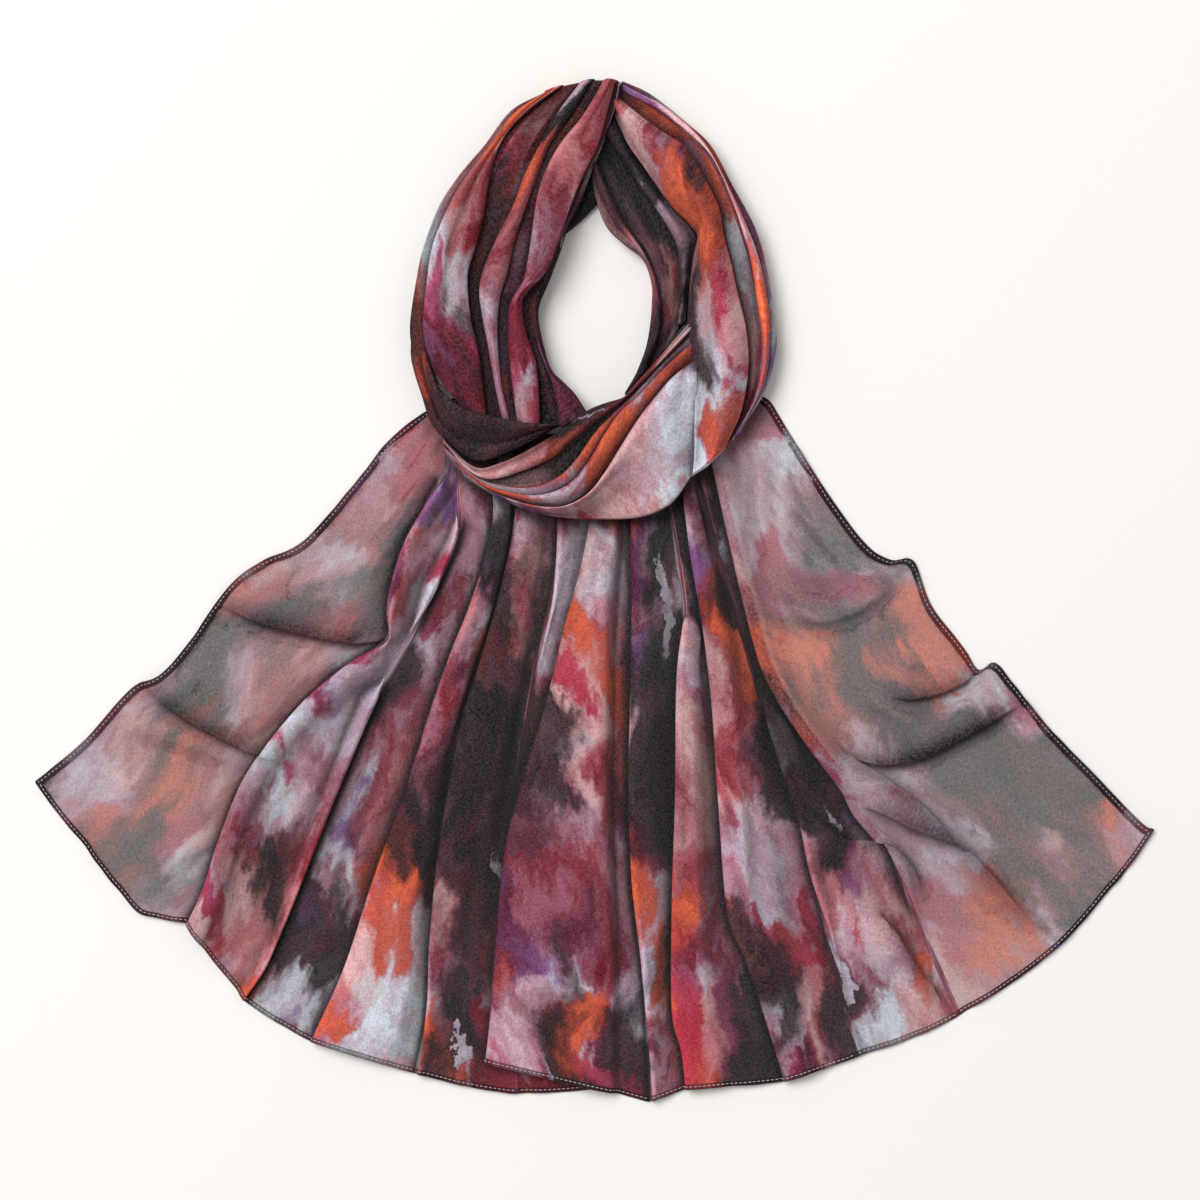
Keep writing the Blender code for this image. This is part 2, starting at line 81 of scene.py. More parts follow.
OVERLAP_MARGIN = 4.0
PANEL_MIDS = 2  # points across the cloth between two folds
MOUTH_CLEAR = 10.6  # height of the loop's front over the table

# ---- Sizes of the two ends' cloth ----
CLOTH_WIDTH = 700.0  # the cut's width, across each end
CLOTH_RUN = 500.0  # length of cloth that one end's map covers
TAIL_STATIONS = 300
FOLD_SUB = 3  # columns per span in a pleat
PANEL_SUB = 5  # columns per span across a pleat's flat cloth
SIDE_SUB = 10  # the same across the sheer side panel
FAN_CENTRE = (0.0, 205.0)  # the folds of both ends spread from here
PANEL_HOLD = 0.62  # share of a pleat's height from which its panel slopes down to the next one
PANEL_SAG = 1.7  # how soon the cloth between two folds comes down (1 is straight)
HEM_BOW = 0.11  # how far the hem bows out between two folds, for each millimetre of their distance
BOW_FULL = 60.0  # cloth narrower than this bows less
BOW_ZONE = (0.7, 1.0)  # it starts and is full at these v
# Waves that spread like a fan: height, waves a radian, shift, length, seed. Then waves of all the
# cloth and of the hem: height, length along X and along Y, seed.
FAN_WAVES = [(0.9, 26, 9, 75, 3), (0.45, 60, 30, 45, 4)]
SOFT_WAVES = [(0.9, 38, 38, 6), (0.2, 7, 9, 7)]
HEM_WAVE = (0.8, 9, 9, 5)
HEM_ZONE, TOP_FADE = (0.93, 1.0), (0.02, 0.16)  # where the hem's waves are, and where all start
SETTLE = 1.4  # hollows of the waves touch the table
LOWEST = 0.35  # height of cloth that lies on the table

# ---- Sizes of creases ----
CREASE_PLACES = 22
CREASE_FADE = 0.28  # share of a crease over which each of its ends fades
SHARP_SIDE, SHARP_HEIGHT = 4.0, 4.5  # a crease this steep and this high hangs over
HANG_OVER = 0.34  # how far it hangs over, as a share of its height
HANG_WIDTHS = (0.85, 0.6)  # where it is pushed: shares of its steep and of its soft side
# Painted shade: along a sharp crease the print is darkened; partly its denser gathered layers, the
# rest painted shade.
GATHER_SHADE_WIDTHS = (1.1, 0.45)  # where painted shade darkens its layers as they gather: share of its overhang, of its soft side
GATHER_PAINTED_SHADE = 0.1  # painted shade there, for each millimetre of its height
GATHER_SHADE_MOST = 0.8

# ---- Painted shade and highlights beside the folds of the ends ----
FULL_STEP = 4.0  # a fold this much above its neighbour paints full shade on it
FOLD_REACH = 8  # columns beside a fold in which its top is looked for
FOLD_DIMS = [(0.6, 3.0), (0.24, 12.0)]  # painted shade under a fold, and over what width
EDGE_GLOW = (0.32, 0.8, 2.6)  # painted highlight on a fold's edge, how far in, and over what width
WIDE_PANEL = 18.0  # narrower cloth between two folds gets less painted highlight on its edge

# ---- Hems and stitches ----
HEM_SECTION = [(-0.3, 0.0), (0.0, 0.4), (0.6, 0.66), (1.3, 0.66), (1.85, 0.42), (2.4, 0.56),
               (2.9, 0.22), (2.95, -0.05), (2.4, -0.3), (1.3, -0.36), (0.5, -0.34), (0.0, -0.25)]
HEM_WIDTHS = (1.1, 1.6, 1.6)  # bottom hem, first and last selvedge: times the section's width
HEM_LOWEST = 0.05
HEM_PLUMP = (0.14, 2.6)  # how unevenly a hem is filled, and over what length
HEM_WANDER = (0.16, 9.0)  # how far it wanders, and over what length
STITCH_START = 1.5
STITCH_PITCH = 3.0
STITCH_LENGTH = 2.1
STITCH_RADIUS = 0.24
STITCH_INSET = 1.85
STITCH_HEIGHT = 0.42
STITCH_FLAT = 0.8  # a thread's height for its width
STITCH_SIDES = 6
STITCH_RINGS = [(-0.5, -0.12, 0.45), (-0.36, 0.12, 1.0), (0.0, 0.2, 1.05), (0.36, 0.12, 1.0),
                (0.5, -0.12, 0.45)]  # share of the length, height, share of the radius

# ---- Sizes of the loop's cloth ----
LAYERS = 5  # layers that show on a strand's side
CREASE_DEPTH = 2.2  # depth of the creases between them
LAYER_UNEVEN = (0.3, 5.1, 2.4)  # how unevenly thick they are; turns along and from each to the next
LAYER_BULGE = (0.6, 0.5, 7.3, 1.7)  # how far they stand out: mean, change, the same two turns
SIDE_INSETS = (1.5, 2.6)  # how far in a side starts at its foot and ends at its shoulder
FOOT_HEIGHT = 0.15
NARROW = 16.0  # a strand narrower than this has a flatter side
PUFF, PUFF_WIDTH = 1.28, 10.0  # how far a panel puffs up, and the width that it needs for that
PUFF_PLACES = (0.3, 0.7)
SPAN_SUBS = {"fold": 2, "panel": [3, 5, 3], "below": 6}  # columns per span of a strand
TUCK, TUCK_SHARE = 5.0, 0.45  # how far lower cloth goes on under a fold; share of the room there
LAP_ROUND = (0.3, 0.2)  # a fold's largest radius: share of the room, and more
LAP_DEEPER, LAP_LEAST, LAP_BACK = 1.3, 0.4, 0.3
LAP_ROOM = 8.0  # a fold with less room beside it is lower
GAP_SHARE = 0.22  # open share of a fold's height
ROLL_TURNS = (88.0, 80.0, 70.0, 58.0, 45.0, 30.0, 15.0)  # stations of a rolled end, in degrees
ROLL_LEAST, ROLL_DROP = 0.03, 1.6
RUN_ON = (1.0, 0.66, 0.33)  # stations of an end that runs on
SINK_START, SINK_END = (0.12, 0.0), (0.86, 1.0)  # where a strand sinks under others
END_FLAT = 0.04  # what is left of a strand's height at its closed end
WRINKLES = [(0.75, 6.5, 48), (0.3, 3.0, 26)]  # height, width, length
WRINKLE_RISE = (3.0, 9.0)  # wrinkles start and are full at these heights over the underside
TABLE_GAP = 0.1
CAP_SIZE, CAP_PLACE = 0.002, 0.004  # where a strand's end caps lie on its maps
MAP_UNIT = 100  # millimetres of cloth for each unit of the "cloth" map
JUMP_MOST, JUMP_PANELS = 900.0, 40  # the most that a panel's print is shifted; panels, at most
PANEL_APART = (3, 5)  # shift of the wrinkles from one panel to the next
WALL_RUN = (0.6, 0.9)  # how far the print runs on, across and along, for each step down a side
UNDER_FOLD = (0.42, 8)  # painted shade where cloth goes under a fold, and over what width
ON_FOLD = (0.14, 2, 4)  # painted highlight on the fold, how far in, and over what width

# Where a strand leaves the table for the ends below it: lift starts and is full at these v.
ON_TABLE, OVER_ENDS = (2, 3), (-2, -1)
LEFT_ARM_LIFTS = (0.86, 0.92)
RIGHT_ARM_LIFTS = (0.72, 0.78)

# ---- Tables of the two ends ----
# A row is a fold that runs down an end. depth and crest: at start, middle and hem.
Pleat = namedtuple("Pleat", "name kind depth crest path")
HIDDEN = "hidden selvedge"
PLEAT_SHOWN = [True, False, False, False, False, True, True, True, True]
TURNED_SHOWN = [False, False, True, True, True, True, True]

TAIL_LEFT = [
    Pleat("selvedge", "edge", (0, 0, 0), (0, 0, 0), [
        (-81, 130), (-107, 119), (-133, 99), (-152, 75), (-188, 34), (-216, 20), (-238, 3),
        (-262, -31), (-280, -52), (-301, -63), (-331, -96), (-363, -123)]),
    Pleat("outer ease", "ease", (0, 0, 0), (1, 3, 0), [
        (-78, 125), (-110, 102), (-143, 60), (-178, 8), (-230, -37), (-289, -99), (-331, -164)]),
    Pleat("inner ease", "ease", (0, 0, 0), (1, 1, 0), [
        (-76, 120), (-102, 96), (-126, 47), (-162, -18), (-211, -80), (-256, -145), (-295, -208)]),
    Pleat("beige roll", "left", (2, 8, 12), (9.4, 11, 13), [
        (-73, 116), (-94, 99), (-97, 80), (-110, 57), (-125, 28), (-134, -5), (-136, -30),
        (-162, -48), (-191, -73), (-224, -115), (-240, -151), (-254, -193), (-264, -215)]),
    Pleat("beige back edge", "right", (2, 6, 4), (9, 8, 5), [
        (-65, 112), (-84, 89), (-88, 67), (-87, 40), (-97, 13), (-117, -28), (-141, -71),
        (-159, -112), (-177, -156), (-195, -202), (-212, -242), (-227, -265)]),
    Pleat("second pleat", "left", (4, 12, 46), (9.4, 8, 6), [
        (-57, 107), (-65, 76), (-66, 47), (-72, 19), (-82, -11), (-94, -41), (-107, -78),
        (-124, -132), (-143, -184), (-162, -242), (-184, -291)]),
    Pleat("third pleat", "left", (4, 26, 3), (9.4, 8, 4), [
        (-44, 104), (-49, 73), (-54, 34), (-63, -5), (-74, -44), (-86, -83), (-96, -135),
        (-102, -174), (-107, -226), (-109, -271), (-116, -312)]),
    Pleat("short pleat", "left", (6, 0, 0), (9.4, 5, 1), [
        (-27, 103), (-24, 47), (-28, 0), (-38, -45), (-46, -90), (-53, -135), (-57, -200),
        (-57, -260), (-50, -325)]),
    Pleat("hidden selvedge", "edge", (0, 0, 0), (0, 0, 0), [
        (7, 102), (9, 47), (4, -5), (2, -70), (2, -135), (4, -187), (6, -252), (6, -321)]),
]

TAIL_RIGHT = [
    Pleat("broad pleat", "turned", (0, 0, 0), (9.4, 8, 7), [
        (-3, 102), (-2, 60), (-8, 21), (-20, -24), (-32, -73), (-48, -125), (-57, -161),
        (-62, -200), (-65, -239), (-68, -278), (-71, -305)]),
    Pleat("centre pleat", "left", (3, 9, 3), (9.4, 8, 4), [
        (20, 103), (23, 47), (24, -5), (23, -70), (22, -122), (24, -187), (30, -239), (33, -278),
        (36, -330)]),
    Pleat("pale pleat", "left", (2, 9, 22), (8, 8, 6), [
        (37, 106), (48, 57), (54, 21), (58, -5), (57, -21), (53, -57), (52, -135), (50, -200),
        (50, -271), (56, -297), (59, -322)]),
    Pleat("mauve pleat", "left", (3, 12, 16), (9, 8, 6), [
        (48, 107), (57, 60), (62, 24), (67, -5), (71, -31), (76, -76), (80, -135), (86, -208),
        (98, -239), (111, -278), (123, -317)]),
    Pleat("strip", "left", (1, 8, 0), (7, 9, 1), [
        (59, 111), (70, 60), (82, 16), (91, -11), (104, -60), (121, -115), (132, -148), (139, -180),
        (150, -219), (161, -265), (171, -301)]),
    Pleat("side panel", "left", (5, 8, 0), (8.6, 13, 1), [
        (69, 114), (81, 60), (94, 2), (107, -47), (121, -75), (143, -107), (159, -128), (168, -145),
        (184, -165), (201, -195), (218, -232), (236, -275)]),
    Pleat("inner ease", "ease", (0, 0, 0), (1, 5, 0), [
        (76, 119), (98, 73), (117, 21), (143, -37), (176, -99), (199, -125), (231, -158),
        (270, -200), (301, -230)]),
    Pleat("outer ease", "ease", (0, 0, 0), (1, 1, 0), [
        (83, 123), (111, 80), (143, 21), (182, -31), (225, -96), (277, -141), (329, -199)]),
    Pleat("selvedge", "edge", (0, 0, 0), (0, 0, 0), [
        (91, 130), (111, 126), (121, 112), (137, 86), (156, 57), (176, 31), (192, 21), (207, 20),
        (218, -8), (238, -34), (249, -50), (260, -46), (273, -61), (294, -87), (323, -117),
        (354, -149), (363, -154)]),
]

# Creases of the two ends. left and right are how far each falls away on that side of its path;
# a small value is the steep side of a fold that hangs over.
Crease = namedtuple("Crease", "name height left right path")

CREASES = [
    Crease("left neck fold", 4.0, 9, 9, [(-91, 106), (-113, 73), (-136, 34), (-152, 2)]),
    Crease("left upper swag", 7.0, 17, 3.2, [
        (-252, -2), (-232, -9), (-205, -18), (-175, -25), (-150, -28), (-122, -27)]),
    Crease("left lower swag", 6.5, 15, 3.2, [
        (-298, -50), (-284, -62), (-262, -78), (-240, -90), (-218, -101), (-198, -111)]),
    Crease("left soft swag", 4.0, 8, 9, [(-310, -78), (-279, -88), (-247, -100), (-221, -115)]),
    Crease("left corner fall", 2.6, 14, 14, [
        (-308, -115), (-279, -135), (-256, -161), (-250, -187)]),
    Crease("roll inner", 2.0, 6, 5, [
        (-162, -70), (-175, -109), (-195, -145), (-216, -180), (-230, -216)]),
    Crease("grey fold", 4.0, 9, 5, [
        (-126, -96), (-137, -128), (-151, -164), (-165, -197), (-175, -223), (-191, -258)]),
    Crease("red fold", 3.0, 6, 8, [
        (-96, -89), (-107, -135), (-123, -180), (-136, -226), (-151, -278)]),
    Crease("red fold below", 2.4, 5, 7, [
        (-99, -135), (-113, -187), (-123, -232), (-128, -271), (-132, -297)]),
    Crease("dark fold", 3.0, 8, 8, [
        (-68, -31), (-78, -83), (-82, -135), (-86, -187), (-91, -239), (-94, -291)]),
    Crease("dark fold inner", 2.4, 6, 6, [
        (-54, -44), (-67, -128), (-72, -180), (-76, -232), (-81, -304)]),
    Crease("centre ridge", 3.2, 11, 9, [
        (-3, 34), (-6, -18), (-13, -70), (-22, -135), (-32, -200), (-39, -265), (-42, -317)]),
    Crease("centre ridge right", 3.0, 8, 11, [
        (15, 21), (11, -37), (4, -109), (-3, -174), (-6, -239), (-3, -310)]),
    Crease("centre ridge foot", 2.4, 7, 7, [(-48, -174), (-52, -219), (-55, -265), (-56, -297)]),
    Crease("strip ridge", 2.4, 8, 8, [
        (36, 34), (39, -57), (36, -109), (39, -174), (46, -239), (50, -297)]),
    Crease("pale strip ridge", 2.0, 6, 6, [
        (63, -31), (62, -70), (65, -135), (69, -200), (72, -265)]),
    Crease("mauve ridge", 3.0, 8, 7, [
        (85, -5), (95, -63), (104, -115), (111, -167), (117, -219), (127, -271)]),
    Crease("mauve ridge left", 2.2, 6, 6, [
        (69, 47), (76, -5), (87, -63), (95, -128), (100, -187), (111, -239)]),
    Crease("right neck fold", 2.6, 5, 4, [(106, 106), (107, 80), (111, 47)]),
    Crease("right neck fold outer", 3.0, 7, 6, [(128, 99), (135, 73), (145, 47), (166, 21)]),
    Crease("right upper swag", 5.5, 15, 4.4, [
        (122, 8), (131, -7), (145, -16), (166, -11), (186, 2), (197, 13)]),
    Crease("right inner swag", 2.6, 7, 4, [(119, 21), (127, 5), (143, -4), (163, 0), (179, 11)]),
    Crease("notch swag", 5.5, 11, 3.0, [(186, -66), (215, -63), (234, -56), (252, -46)]),
    Crease("middle swag", 3.4, 8, 3.2, [(178, -69), (194, -78), (212, -87)]),
    Crease("great swag", 8.0, 14, 3.2, [
        (148, -99), (170, -104), (192, -106), (212, -101), (236, -89), (262, -76), (286, -66)]),
    Crease("long crease", 5.5, 3.4, 14, [
        (147, -82), (154, -98), (168, -112), (184, -123), (201, -135), (226, -156), (245, -177),
        (264, -198), (281, -217), (295, -230)]),
    Crease("hollow roof", 6.0, 10, 3.4, [
        (163, -134), (186, -138), (208, -150), (231, -161), (254, -173)]),
    Crease("hollow lip", 6.0, 3.0, 12, [
        (137, -143), (150, -157), (166, -165), (186, -167), (199, -176), (215, -200)]),
    Crease("lower crease", 4.6, 3.6, 13, [(173, -200), (195, -229), (212, -255), (232, -277)]),
    Crease("panel fall", 2.6, 9, 9, [(166, -187), (163, -226), (173, -265), (186, -291)]),
    Crease("right corner fall", 2.0, 13, 13, [(316, -135), (303, -161), (319, -187)]),
    Crease("right corner drift", 1.8, 14, 12, [(264, -109), (290, -135), (322, -154)]),
    Crease("selvedge wrinkle a", 2.2, 3.5, 3, [(267, -70), (275, -78), (282, -85)]),
    Crease("selvedge wrinkle b", 2.0, 3, 3, [(278, -69), (287, -75), (293, -84)]),
    Crease("selvedge wrinkle c", 1.8, 3.5, 3, [(-253, -13), (-242, -15), (-232, -17)]),
    Crease("selvedge wrinkle d", 1.6, 3, 3.5, [(-259, -31), (-249, -37), (-240, -38)]),
    Crease("plum fold", 2.2, 5, 5, [(96, -31), (102, -70), (111, -115), (122, -154), (134, -187)]),
]

# ---- Tables of the loop ----
# A fold of the loop: kind "side" is an outline, "in" an edge that faces the first outline with the
# cloth beyond it on top, "out" the other way, "dip" a hollow. height: at start, middle and end.
Fold = namedtuple("Fold", "name kind step height path")

LEFT_ARM = [
    Fold("inner outline", "side", 0, (15, 17, 18), [
        (17.5, 326), (14.5, 312), (6, 288), (-1, 272), (-9, 252), (-17, 236), (-22, 221),
        (-30, 200), (-35, 188), (-36, 177), (-33, 161), (-28, 145), (-21, 137), (-13, 129),
        (-7, 120)]),
    Fold("foot flap", "out", 5, (17, 19, 22), [
        (15.4, 327), (11.5, 309), (3, 288), (-4, 271), (-12, 252), (-20, 234), (-26, 220),
        (-34, 200), (-39, 188), (-40, 177), (-37, 161), (-32, 147), (-27, 134), (-22, 112)]),
    Fold("pale panel back", "in", 6, (22, 26, 24), [
        (13, 327.6), (3, 290), (-7, 268), (-15, 249), (-22, 228), (-31, 206), (-45, 190),
        (-46, 178), (-43, 164), (-38, 150), (-36, 136), (-35, 110)]),
    Fold("pale panel", "out", 6, (25, 28, 24), [
        (5.5, 328.6), (-7, 307), (-22, 288), (-32, 269), (-37, 252), (-40, 232), (-45, 202),
        (-53, 188), (-55, 178), (-55, 158), (-53, 135), (-50, 112)]),
    Fold("strip back", "in", 4, (23, 25, 22), [
        (-2, 328.5), (-15, 307), (-28, 288), (-36, 268), (-42, 252), (-50, 229), (-56, 204),
        (-60, 191), (-62, 177), (-62, 161), (-61, 146), (-59, 130), (-55, 114)]),
    Fold("red strip", "out", 5, (22, 26, 22), [
        (-9.5, 327.6), (-24, 308), (-35, 288), (-45, 268), (-52, 249), (-62, 229), (-71, 208),
        (-74, 193), (-72, 177), (-69, 161), (-65, 138), (-60, 114)]),
    Fold("grey panel", "in", 6, (20, 27, 26), [
        (-22, 325), (-39, 312), (-54, 298), (-63, 282), (-68, 262), (-71, 242), (-76, 222),
        (-81, 206), (-81, 190), (-79, 174), (-75, 158), (-72, 139), (-70, 117)]),
    Fold("red panel", "ease", 0, (18, 26, 24), [
        (-27.3, 323.6), (-47, 308), (-63, 287), (-76, 266), (-85, 245), (-93, 222), (-96, 197),
        (-96, 173), (-94, 155), (-86, 124)]),
    Fold("outer strip", "out", 2, (18, 25, 23), [
        (-30.3, 323), (-51, 309), (-68, 286), (-83, 266), (-94, 247), (-104, 222), (-108, 197),
        (-110, 173), (-108, 157), (-101, 141)]),
    Fold("outer outline", "side", 0, (14, 18, 18), [
        (-33, 322.6), (-54, 311), (-72, 288), (-88, 269), (-100, 251), (-111, 223), (-116, 197),
        (-119, 173), (-118, 158), (-116, 146)]),
]

LEFT_BAND = [
    Fold("upper edge", "side", 0, (19, 26, 22), [
        (-109, 166), (-107, 152), (-103, 139), (-99, 131), (-93, 125), (-82, 118), (-68, 114),
        (-51, 111), (-36, 109), (-26, 108)]),
    Fold("crease", "dip", 3, (18, 22, 20), [
        (-113, 166), (-112, 152), (-109, 138), (-104, 123), (-97, 107), (-82, 98), (-68, 96),
        (-52, 98), (-38, 103), (-28, 106)]),
    Fold("lower edge", "side", 0, (16, 18, 17), [
        (-118.5, 166), (-118.5, 152), (-115.5, 139), (-111, 125), (-106, 110), (-98, 100),
        (-89, 91), (-74, 84), (-51, 92), (-37, 99), (-29, 104)]),
]

INNER_STRAND = [
    Fold("inner outline", "side", 0, (11, 13, 15), [
        (-1.8, 268), (1, 254), (8, 237), (20, 225), (32, 215), (37, 200), (37, 187), (36, 174),
        (33, 158), (27, 142), (22, 133)]),
    Fold("pink strip", "out", 5, (16, 17, 17), [
        (2, 276), (7, 264), (13, 250), (22, 234), (32, 219), (39, 204), (42, 190), (43, 174),
        (40, 161), (36, 149)]),
    Fold("dark hollow", "dip", 3, (13, 12, 14), [
        (6.4, 286), (15, 272), (24, 256), (33, 239), (42, 222), (47, 205), (51, 190), (51, 176),
        (47, 162)]),
    Fold("purple strip", "in", 4, (15, 16, 16), [
        (9, 293), (17.5, 280.5), (27, 266), (36.5, 252), (46, 238), (53, 224), (55.5, 208),
        (55, 192), (53.5, 178)]),
    Fold("outer side", "side", 0, (13, 13, 14), [
        (14.4, 304), (22.6, 288.7), (31.7, 275), (40.7, 262), (51.7, 247), (62.4, 236), (66.2, 228),
        (63.6, 214), (61.6, 197), (60.4, 180)]),
]

RIGHT_ARM = [
    Fold("panel edge", "side", 0, (18, 22, 26), [
        (14, 305), (22, 288), (31, 275), (40, 262), (51, 247), (62, 236), (66, 229), (63, 215),
        (61, 197), (60, 180), (60, 164), (62, 150), (64, 132), (64, 106), (64, 89), (63, 77)]),
    Fold("panel ease", "ease", 0, (24, 31, 32), [
        (16, 312), (38, 288), (58, 262), (71, 240), (74, 215), (77, 185), (79, 158), (80, 130),
        (78, 104), (74, 84)]),
    Fold("panel far edge", "out", 7, (20, 29, 24), [
        (18, 317.5), (39, 300), (59, 286), (70, 268), (80, 247), (83, 229), (88, 210), (92, 191),
        (97, 171), (99, 151), (98, 135), (94, 115), (85, 95)]),
    Fold("outer strip", "in", 5, (17, 24, 20), [
        (20.5, 323), (41, 311), (60, 296), (76, 279), (88, 252), (96, 229), (101, 210), (104, 190),
        (107, 171), (108, 154), (106, 137), (101, 120), (91, 102)]),
    Fold("rim strip", "out", 4, (15, 21, 18), [
        (21.7, 326.6), (31, 321.5), (43, 315), (58, 303), (72, 288), (84, 266), (97, 238),
        (106, 214), (112, 184), (113, 158), (109, 134), (94, 105)]),
    Fold("outer outline", "side", 0, (13, 18, 16), [
        (23, 329.5), (33, 325), (43, 318), (61, 303), (76, 288), (89, 263), (104, 234), (111, 210),
        (117, 176), (117, 153), (111, 131), (96, 107)]),
]

FRONT_WRAP = [
    Fold("upper edge", "side", 0, (24, 28, 22), [
        (58.8, 171), (43, 153), (26, 134), (19, 126), (7, 122), (-5, 117), (-19, 106), (-35, 96),
        (-49, 88), (-61, 83), (-74, 80), (-86, 87), (-96, 98)]),
    Fold("orange band", "out", 6, (27, 34, 24), [
        (59, 165), (43, 148), (27, 131), (18, 122.5), (4, 112), (-13, 98), (-27, 86), (-48, 77),
        (-67, 72.5), (-81, 78.5), (-95.5, 95)]),
    Fold("purple line", "in", 3, (27, 31, 23), [
        (59.4, 162), (43.5, 146), (27.5, 129), (17, 119), (1, 103), (-11, 86), (-23, 74),
        (-39, 67.5), (-58, 68), (-77, 75), (-95, 93.5)]),
    Fold("beige strip", "in", 5, (28, 32, 23), [
        (59.8, 158), (44, 143), (28, 126), (16, 115), (5, 99), (-5, 82), (-18, 68.5), (-36, 62.5),
        (-57, 65), (-75, 72.5), (-95, 91.5)]),
    Fold("broad panel", "in", 6, (31, 34, 22), [
        (61.4, 147), (50, 138), (38, 124), (28, 111), (16, 92), (6, 76), (-4, 63.5), (-19, 55.5),
        (-37, 55.5), (-57, 61), (-74, 69.5), (-94, 88.5)]),
    Fold("lower edge", "side", 0, (22, 22, 18), [
        (62.5, 75), (54, 62), (45, 54), (28, 48), (4, 47), (-20, 48), (-37, 51), (-54, 57),
        (-69, 65), (-84, 75), (-93, 86)]),
]

# The turn of cloth that peeks out between the left arm and the inner strand, at the opening's top.
BACK_EDGE = [(-21, 231), (-13, 237), (-4, 245.5), (4, 254.5), (9, 259)]
BACK_TOP = [(-14, 262), (-8, 266), (0, 270), (6, 274), (12, 276)]
BACK_ROWS = [(0.06, 0.6), (0.0, 2.2), (0.01, 4.2), (0.05, 5.8), (0.12, 6.6), (0.3, 7.2),
             (0.6, 7.6), (1.0, 8.0)]  # share of the way in from the edge, height
BACK_STATIONS = 26


# ---- Curves and noise ----
def run_along(points):
    """The length from the start of a curve, or of each of several, to each of its points."""
    steps = np.linalg.norm(np.diff(points, axis=-2), axis=-1)
    return np.concatenate([np.zeros_like(steps[..., :1]), np.cumsum(steps, axis=-1)], axis=-1)


def read_at(wanted, along, values):
    """Each column of values, which are given at the lengths along, at other lengths."""
    return np.column_stack([np.interp(wanted, along, column) for column in values.T])


def smooth_path(points, count):
    """A smooth plan curve through the points, with count places evenly spaced along it."""
    curve_steps = 12
    knots = np.array(points, dtype=float)
    padded = np.vstack([2 * knots[0] - knots[1], knots, 2 * knots[-1] - knots[-2]])
    fine = []
    for before, start, end, after in zip(padded, padded[1:], padded[2:], padded[3:]):
        for t in np.linspace(0.0, 1.0, curve_steps, endpoint=False):
            fine.append(0.5 * (2 * start + (end - before) * t
                               + (2 * before - 5 * start + 4 * end - after) * t ** 2
                               + (3 * start - before - 3 * end + after) * t ** 3))
    fine = np.array(fine + [knots[-1]])
    along = run_along(fine)
    return read_at(np.linspace(0.0, along[-1], count), along, fine)


def ramp(x, low, high):
    """0 at low, 1 at high and smooth between."""
    t = np.clip((x - low) / (high - low), 0.0, 1.0)
    return t * t * (3 - 2 * t)


def bell(x, width):
    """1 at x = 0, and falling off over the width on both sides."""
    return np.exp(-(x / width) ** 2)


def three_point(values, v):
    """Eases from the first value through the second at v = 0.5 to the third."""
    start, middle, end = values
    if v < 0.5:
        return start + (middle - start) * ramp(v, 0.0, 0.5)
    return middle + (end - middle) * ramp(v, 0.5, 1.0)


def between(a, b, start, end, t):
    """a at t = start, b at t = end and straight between."""
    return (end - t) / (end - start) * a + (t - start) / (end - start) * b


def refine(rows, subs, closed=False):
    """Rounds each row of points with a centripetal spline; subs is the columns in each span."""
    if closed:
        padded = np.concatenate([rows[:, -1:], rows, rows[:, :2]], axis=1)
    else:
        padded = np.concatenate([2 * rows[:, :1] - rows[:, 1:2], rows,
                                 2 * rows[:, -1:] - rows[:, -2:-1]], axis=1)
    out = []
    for i, sub in enumerate(subs):
        points = [padded[:, i + k] for k in range(4)]
        knots = [np.zeros((len(rows), 1))]
        for start, end in zip(points, points[1:]):
            gap = np.maximum(np.linalg.norm(end - start, axis=1), 1e-6)[:, None]
            knots.append(knots[-1] + gap ** 0.5)
        for f in np.arange(sub) / sub:
            t = knots[1] + (knots[2] - knots[1]) * f
            once = [between(points[k], points[k + 1], knots[k], knots[k + 1], t) for k in range(3)]
            twice = [between(once[k], once[k + 1], knots[k], knots[k + 2], t) for k in range(2)]
            out.append(between(*twice, knots[1], knots[2], t))
    if not closed:
        out.append(rows[:, -1])
    return np.stack(out, axis=1)


def soft_noise(x, y, seed):
    """Smooth noise from -1 to 1 with features one unit across."""
    size = 64
    grid = np.random.RandomState(seed).uniform(-1.0, 1.0, (size, size))
    xi, yi = np.floor(x).astype(int), np.floor(y).astype(int)
    fx, fy = x - xi, y - yi
    fx, fy = fx * fx * (3 - 2 * fx), fy * fy * (3 - 2 * fy)
    low, high = (grid[xi % size, j % size] * (1 - fx) + grid[(xi + 1) % size, j % size] * fx
                 for j in (yi, yi + 1))
    return low * (1 - fy) + high * fy


